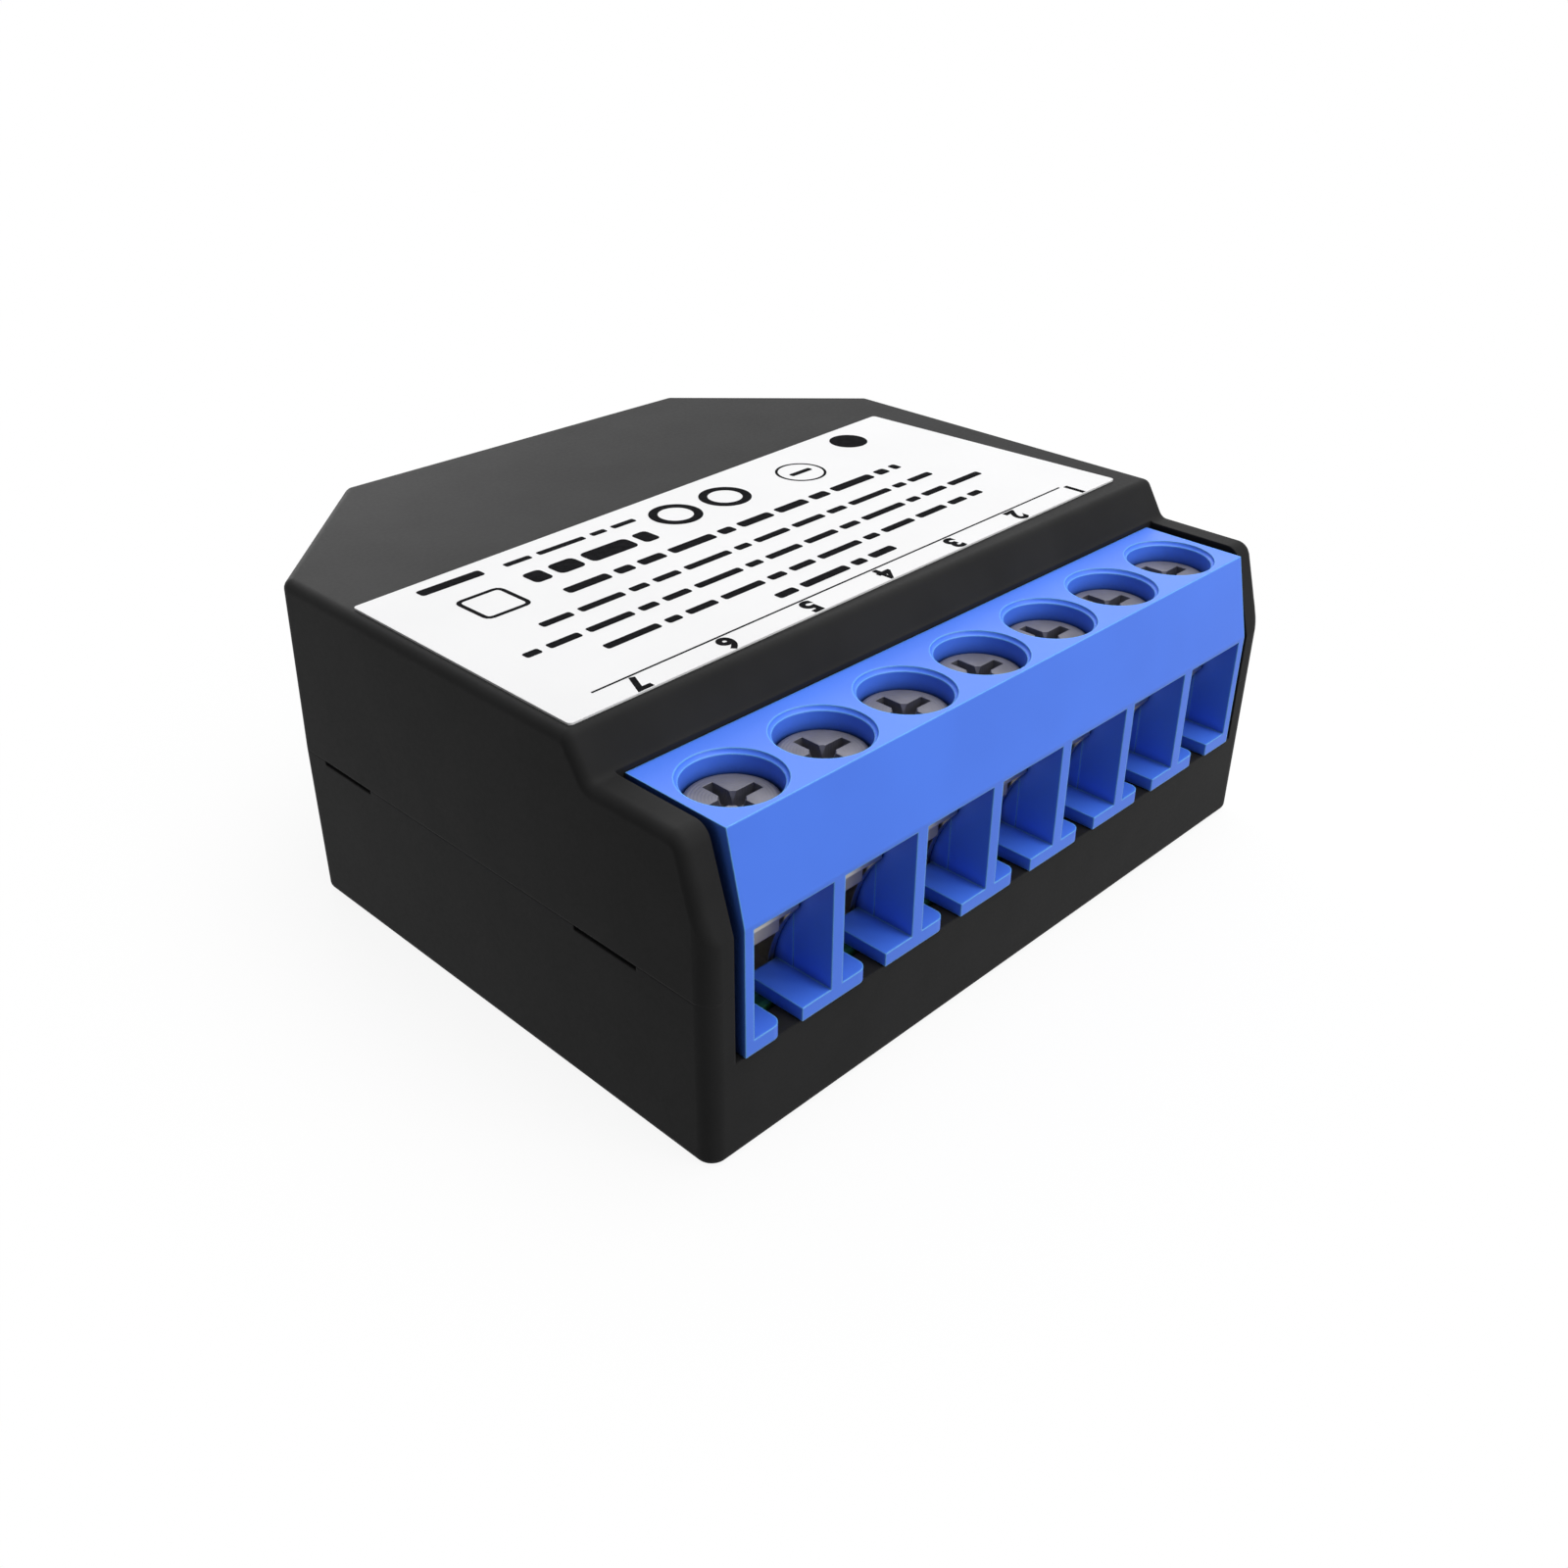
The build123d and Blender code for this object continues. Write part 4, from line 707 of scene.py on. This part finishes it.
# %% Terminal numbers
number_v = 0.68
number_size = 1.5 * MM
number_weight = 0.045
number_curve_steps = 5
middle_pole = 4
numbers = []
for number in pole_numbers:
    pole_x = (middle_pole - number) * pole_pitch
    bpy.ops.object.select_all(action="DESELECT")
    bpy.ops.object.text_add(
        location=on_label((pole_x - label_corner.x) / MM, number_v, ink_thickness / 2),
        rotation=(0, 0, label_turn + math.pi),
    )
    text = bpy.context.object
    text.data.body = str(number)
    text.data.size = number_size
    text.data.offset = number_weight * number_size
    text.data.extrude = ink_thickness / 2
    text.data.resolution_u = number_curve_steps
    text.data.align_x = "CENTER"
    text.data.align_y = "CENTER"
    bpy.ops.object.convert(target="MESH")
    numbers.append(bpy.context.object)
join_print("label_numbers", numbers)

# %% [markdown]
# The rows of small print are rows of dashes. Word lengths come from one short list that each
# row starts at a different place, so no two rows look alike and nothing is random. Each row is
# its first u, its last u, its v and the width of its dashes.

# %% Rows of dashes
word_lengths = (2.1, 1.2, 3.0, 0.8, 1.7, 2.5, 1.0, 1.5, 2.8, 0.9, 2.2)
word_gap = 0.42
print_rows = (
    (13.7, 21.6, 2.35, 0.52),
    (5.2, 30.4, 3.95, 0.46),
    (2.4, 33.4, 5.65, 0.46),
    (4.7, 31.0, 7.45, 0.46),
    (7.7, 30.4, 9.40, 0.62),
    (7.4, 14.9, 11.60, 1.20),
    (7.6, 15.5, 13.60, 0.38),
)
for row, (u_first, u_last, row_v, dash_width) in enumerate(print_rows, start=1):
    dashes = []
    u_now = u_first
    word = row
    while u_now < u_last - word_gap:
        dash_length = min(word_lengths[word % len(word_lengths)], u_last - u_now)
        dashes.append(solid_bar(u_now + dash_length / 2, row_v, dash_length, dash_width))
        u_now += dash_length + word_gap
        word += 1
    join_print(f"label_row_{row}", dashes)

# %% [markdown]
# Beyond the rows stand the plain shapes: an open square with a bar behind it, two wide rings, a
# small ring with a dash in it, and a round dot. A ring is a circle that gets the same inset as
# the square, and the second wide ring is a copy of the first.

# %% Helpers for rings and copies
ring_points = 48


def ring_on_label(u, v, radius, line):
    """A printed ring, or a disc where its line is as wide as its radius."""
    bpy.ops.object.select_all(action="DESELECT")
    bpy.ops.mesh.primitive_circle_add(
        vertices=ring_points, radius=radius * MM, fill_type="NGON", location=on_label(u, v)
    )
    ring = bpy.context.object
    edit(ring)
    if line < radius:
        outline(line)
    else:
        raise_ink()
    return ring


def copy_along(piece, u_step):
    """A copy of a printed piece with its own mesh, further along the label's front edge."""
    bpy.ops.object.select_all(action="DESELECT")
    piece.select_set(True)
    bpy.context.view_layer.objects.active = piece
    bpy.ops.object.duplicate(linked=False)
    copied = bpy.context.object
    copied.location = on_label(u_step, 0.0) - on_label(0.0, 0.0) + piece.location
    return copied


# %% Plain shapes
square_u, square_v = 4.75, 10.7
square_side = 2.5
square_corner = 0.4
square_line = 0.22
square = bar_on_label(square_u, square_v, square_side, square_side, square_corner)
outline(square_line)

square_bar_v = 13.75
square_bar_size = (3.4, 0.62)
square_bar = solid_bar(square_u, square_bar_v, *square_bar_size)

wide_ring_place = (17.4, 12.7)
wide_ring_step = 3.4
ring_size = 1.35
wide_line = 0.46
wide_ring = ring_on_label(*wide_ring_place, ring_size, wide_line)
second_wide_ring = copy_along(wide_ring, wide_ring_step)

small_ring_place = (26.1, 12.4)
thin_line = 0.14
small_dash_size = (1.5, 0.34)
small_ring = ring_on_label(*small_ring_place, ring_size, thin_line)
small_dash = solid_bar(*small_ring_place, *small_dash_size)

dot_place = (31.6, 13.9)
dot_size = 1.05
dot = ring_on_label(*dot_place, dot_size, dot_size)
join_print(
    "label_marks",
    [square, square_bar, wide_ring, second_wide_ring, small_ring, small_dash, dot],
)

# %% [markdown]
# ## Boards
# A circuit board is glass laminate under dark green solder mask, with copper tracks that show
# through as a lighter green. A brick pattern, seen from above, gives right-angled runs like
# tracks, and costs one node where drawn tracks would cost thousands of faces.

# %% Board finish
track_scale = 420.0
track_width = 0.045
track_softness = 0.2
track_green = (0.018, 0.095, 0.038, 1.0)
board_green = finish(
    "board_green",
    (0.008, 0.050, 0.020),
    roughness=0.30,
    grain_scale=2500.0,
    grain_height=0.001 * MM,
    drift=0.10,
    edge=0.03 * MM,
)
board_tree = board_green["tree"]
track_pattern = board_tree.nodes.new("ShaderNodeTexBrick")
track_pattern.inputs["Scale"].default_value = track_scale
track_pattern.inputs["Mortar Size"].default_value = track_width
track_pattern.inputs["Mortar Smooth"].default_value = track_softness
board_tree.links.new(board_green["place"], track_pattern.inputs["Vector"])
tracks = colour_mix(
    board_tree, track_pattern.outputs["Fac"], board_green["tint"], track_green
)
board_tree.links.new(tracks, board_green["shader"].inputs["Base Color"])
dress(board_green, "power_board", "logic_board")

# %% [markdown]
# ## Relays and the transformer
# Inside each black relay case sits a coil on a pale bobbin, round a soft iron core. The coil is
# wound with enamelled wire; the wire group lays its turns along the coil's own axis. The
# transformer's winding stands upright, so there the axis is Z.

# %% Relay case, base, iron and bobbin finishes
relay_numbers = (1, 2)


def both_relays(piece):
    """The names of one kind of piece in the two relays."""
    return [f"relay_{n}_{piece}" for n in relay_numbers]


relay_case_black = finish("relay_case_black", (0.030, 0.031, 0.035), roughness=0.35, drift=0.10)
dress(relay_case_black, *both_relays("cover"))
relay_base_grey = finish("relay_base_grey", (0.055, 0.055, 0.058), roughness=0.5, drift=0.12)
dress(relay_base_grey, *both_relays("base"))
plated_iron = finish(
    "plated_iron",
    (0.40, 0.385, 0.36),
    roughness=0.38,
    metallic=1.0,
    grain_height=0.003 * MM,
    drift_scale=600.0,
    drift=0.14,
)
dress(plated_iron, *both_relays("yoke"), *both_relays("armature"))
bobbin_natural = finish("bobbin_natural", (0.62, 0.57, 0.44), roughness=0.42, drift=0.05)
dress(bobbin_natural, *both_relays("bobbin"), "transformer_former")

# %% Coil wire finishes
enamelled_copper = (0.60, 0.22, 0.085)
for coil_name, coil_nodes, coil_axis, wire in (
    ("relay_coil_wire", both_relays("winding"), (0.0, 1.0, 0.0), 0.09 * MM),
    ("transformer_wire", ["transformer_winding"], (0.0, 0.0, 1.0), 0.16 * MM),
):
    coil_wire = finish(
        coil_name, enamelled_copper, roughness=0.28, metallic=1.0, drift_scale=900.0, drift=0.12
    )
    add_relief(coil_wire, turn_group, wire / 2, Axis=coil_axis, Wire_Width=wire)
    dress(coil_wire, *coil_nodes)

# %% Contact, pin and ferrite finishes
contact_alloy = finish(
    "contact_alloy", (0.66, 0.52, 0.34), roughness=0.30, metallic=1.0, drift_scale=800.0, drift=0.1
)
dress(contact_alloy, *both_relays("contact"))
tinned_pin = finish("tinned_pin", (0.56, 0.55, 0.52), roughness=0.32, metallic=1.0, drift=0.1)
dress(tinned_pin, *both_relays("coil_pins"), "board_link_pins")
ferrite_black = finish(
    "ferrite_black",
    (0.035, 0.034, 0.036),
    roughness=0.62,
    grain_scale=9000.0,
    grain_height=0.004 * MM,
    drift=0.15,
)
dress(ferrite_black, "transformer_core")

# %% [markdown]
# ## Capacitors
# A can capacitor is aluminium in a dark shrink sleeve. The sleeve ends just over the rolled top,
# where bare metal shows. Height above the board tells sleeve from top; each can has its own
# height, so each gets its own material.

# %% Capacitor finishes
sleeve_end_drop = 0.22 * MM
sleeve_blue = (0.020, 0.030, 0.085)
can_aluminium = (0.62, 0.62, 0.63, 1.0)
for sleeve_name, node in (
    ("sleeve_tall", "input_capacitor"),
    ("sleeve_short", "output_capacitors"),
):
    sleeve = finish(sleeve_name, sleeve_blue, roughness=0.32, drift=0.08)
    sleeve_tree = sleeve["tree"]
    sleeve_shader = sleeve["shader"].inputs
    can_axes = sleeve_tree.nodes.new("ShaderNodeSeparateXYZ")
    sleeve_tree.links.new(sleeve["place"], can_axes.inputs[0])
    sleeve_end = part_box(node)[1].z - sleeve_end_drop
    bare_top = math_node(sleeve_tree, "GREATER_THAN", can_axes.outputs["Z"], sleeve_end)
    can_colour = colour_mix(sleeve_tree, bare_top, sleeve["tint"], can_aluminium)
    sleeve_tree.links.new(can_colour, sleeve_shader["Base Color"])
    sleeve_tree.links.new(bare_top, sleeve_shader["Metallic"])
    dress(sleeve, node)

# %% [markdown]
# ## Small parts
# The remaining parts differ in colour and gloss but not in kind, so a table is the clearest way
# to write them: name, colour, roughness, how metallic it is, and the nodes that wear it.

# %% Small part finishes
small_part_drift = 0.09
small_finishes = (
    ("resistor_green", (0.050, 0.190, 0.120), 0.45, 0.0, ["fuse_resistor"]),
    ("inductor_sleeve", (0.022, 0.022, 0.024), 0.36, 0.0, ["line_inductor"]),
    ("varistor_blue", (0.030, 0.085, 0.300), 0.40, 0.0, ["varistor"]),
    ("chip_epoxy", (0.024, 0.024, 0.026), 0.55, 0.0,
     ["bridge_rectifier", "converter_chip", "output_diode", "radio_chip", "flash_chip"]),
    ("bright_tin", (0.60, 0.60, 0.59), 0.26, 1.0, ["current_shunts", "crystal"]),
    ("antenna_gold", (0.80, 0.56, 0.22), 0.28, 1.0, ["antenna"]),
    ("led_milk", (0.78, 0.78, 0.72), 0.22, 0.0, ["status_led"]),
    ("switch_case_black", (0.035, 0.035, 0.037), 0.42, 0.0, ["reset_switch"]),
    ("button_grey", (0.110, 0.110, 0.115), 0.48, 0.0, ["reset_button"]),
    ("socket_black", (0.022, 0.022, 0.024), 0.45, 0.0, ["programming_socket"]),
)
for name, colour, roughness, metallic, nodes in small_finishes:
    dress(finish(name, colour, roughness, metallic=metallic, drift=small_part_drift), *nodes)

# %% [markdown]
# ## Check and finish
# Every CAD node should now wear a material of this notebook; any node that doesn't is listed.

# %% List the nodes without a finish
own_materials = {m.name for m in bpy.data.materials if m.node_tree and m.users}
bare = [n for n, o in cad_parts.items() if o.active_material.name not in own_materials]
print("nodes without a finish:", bare)
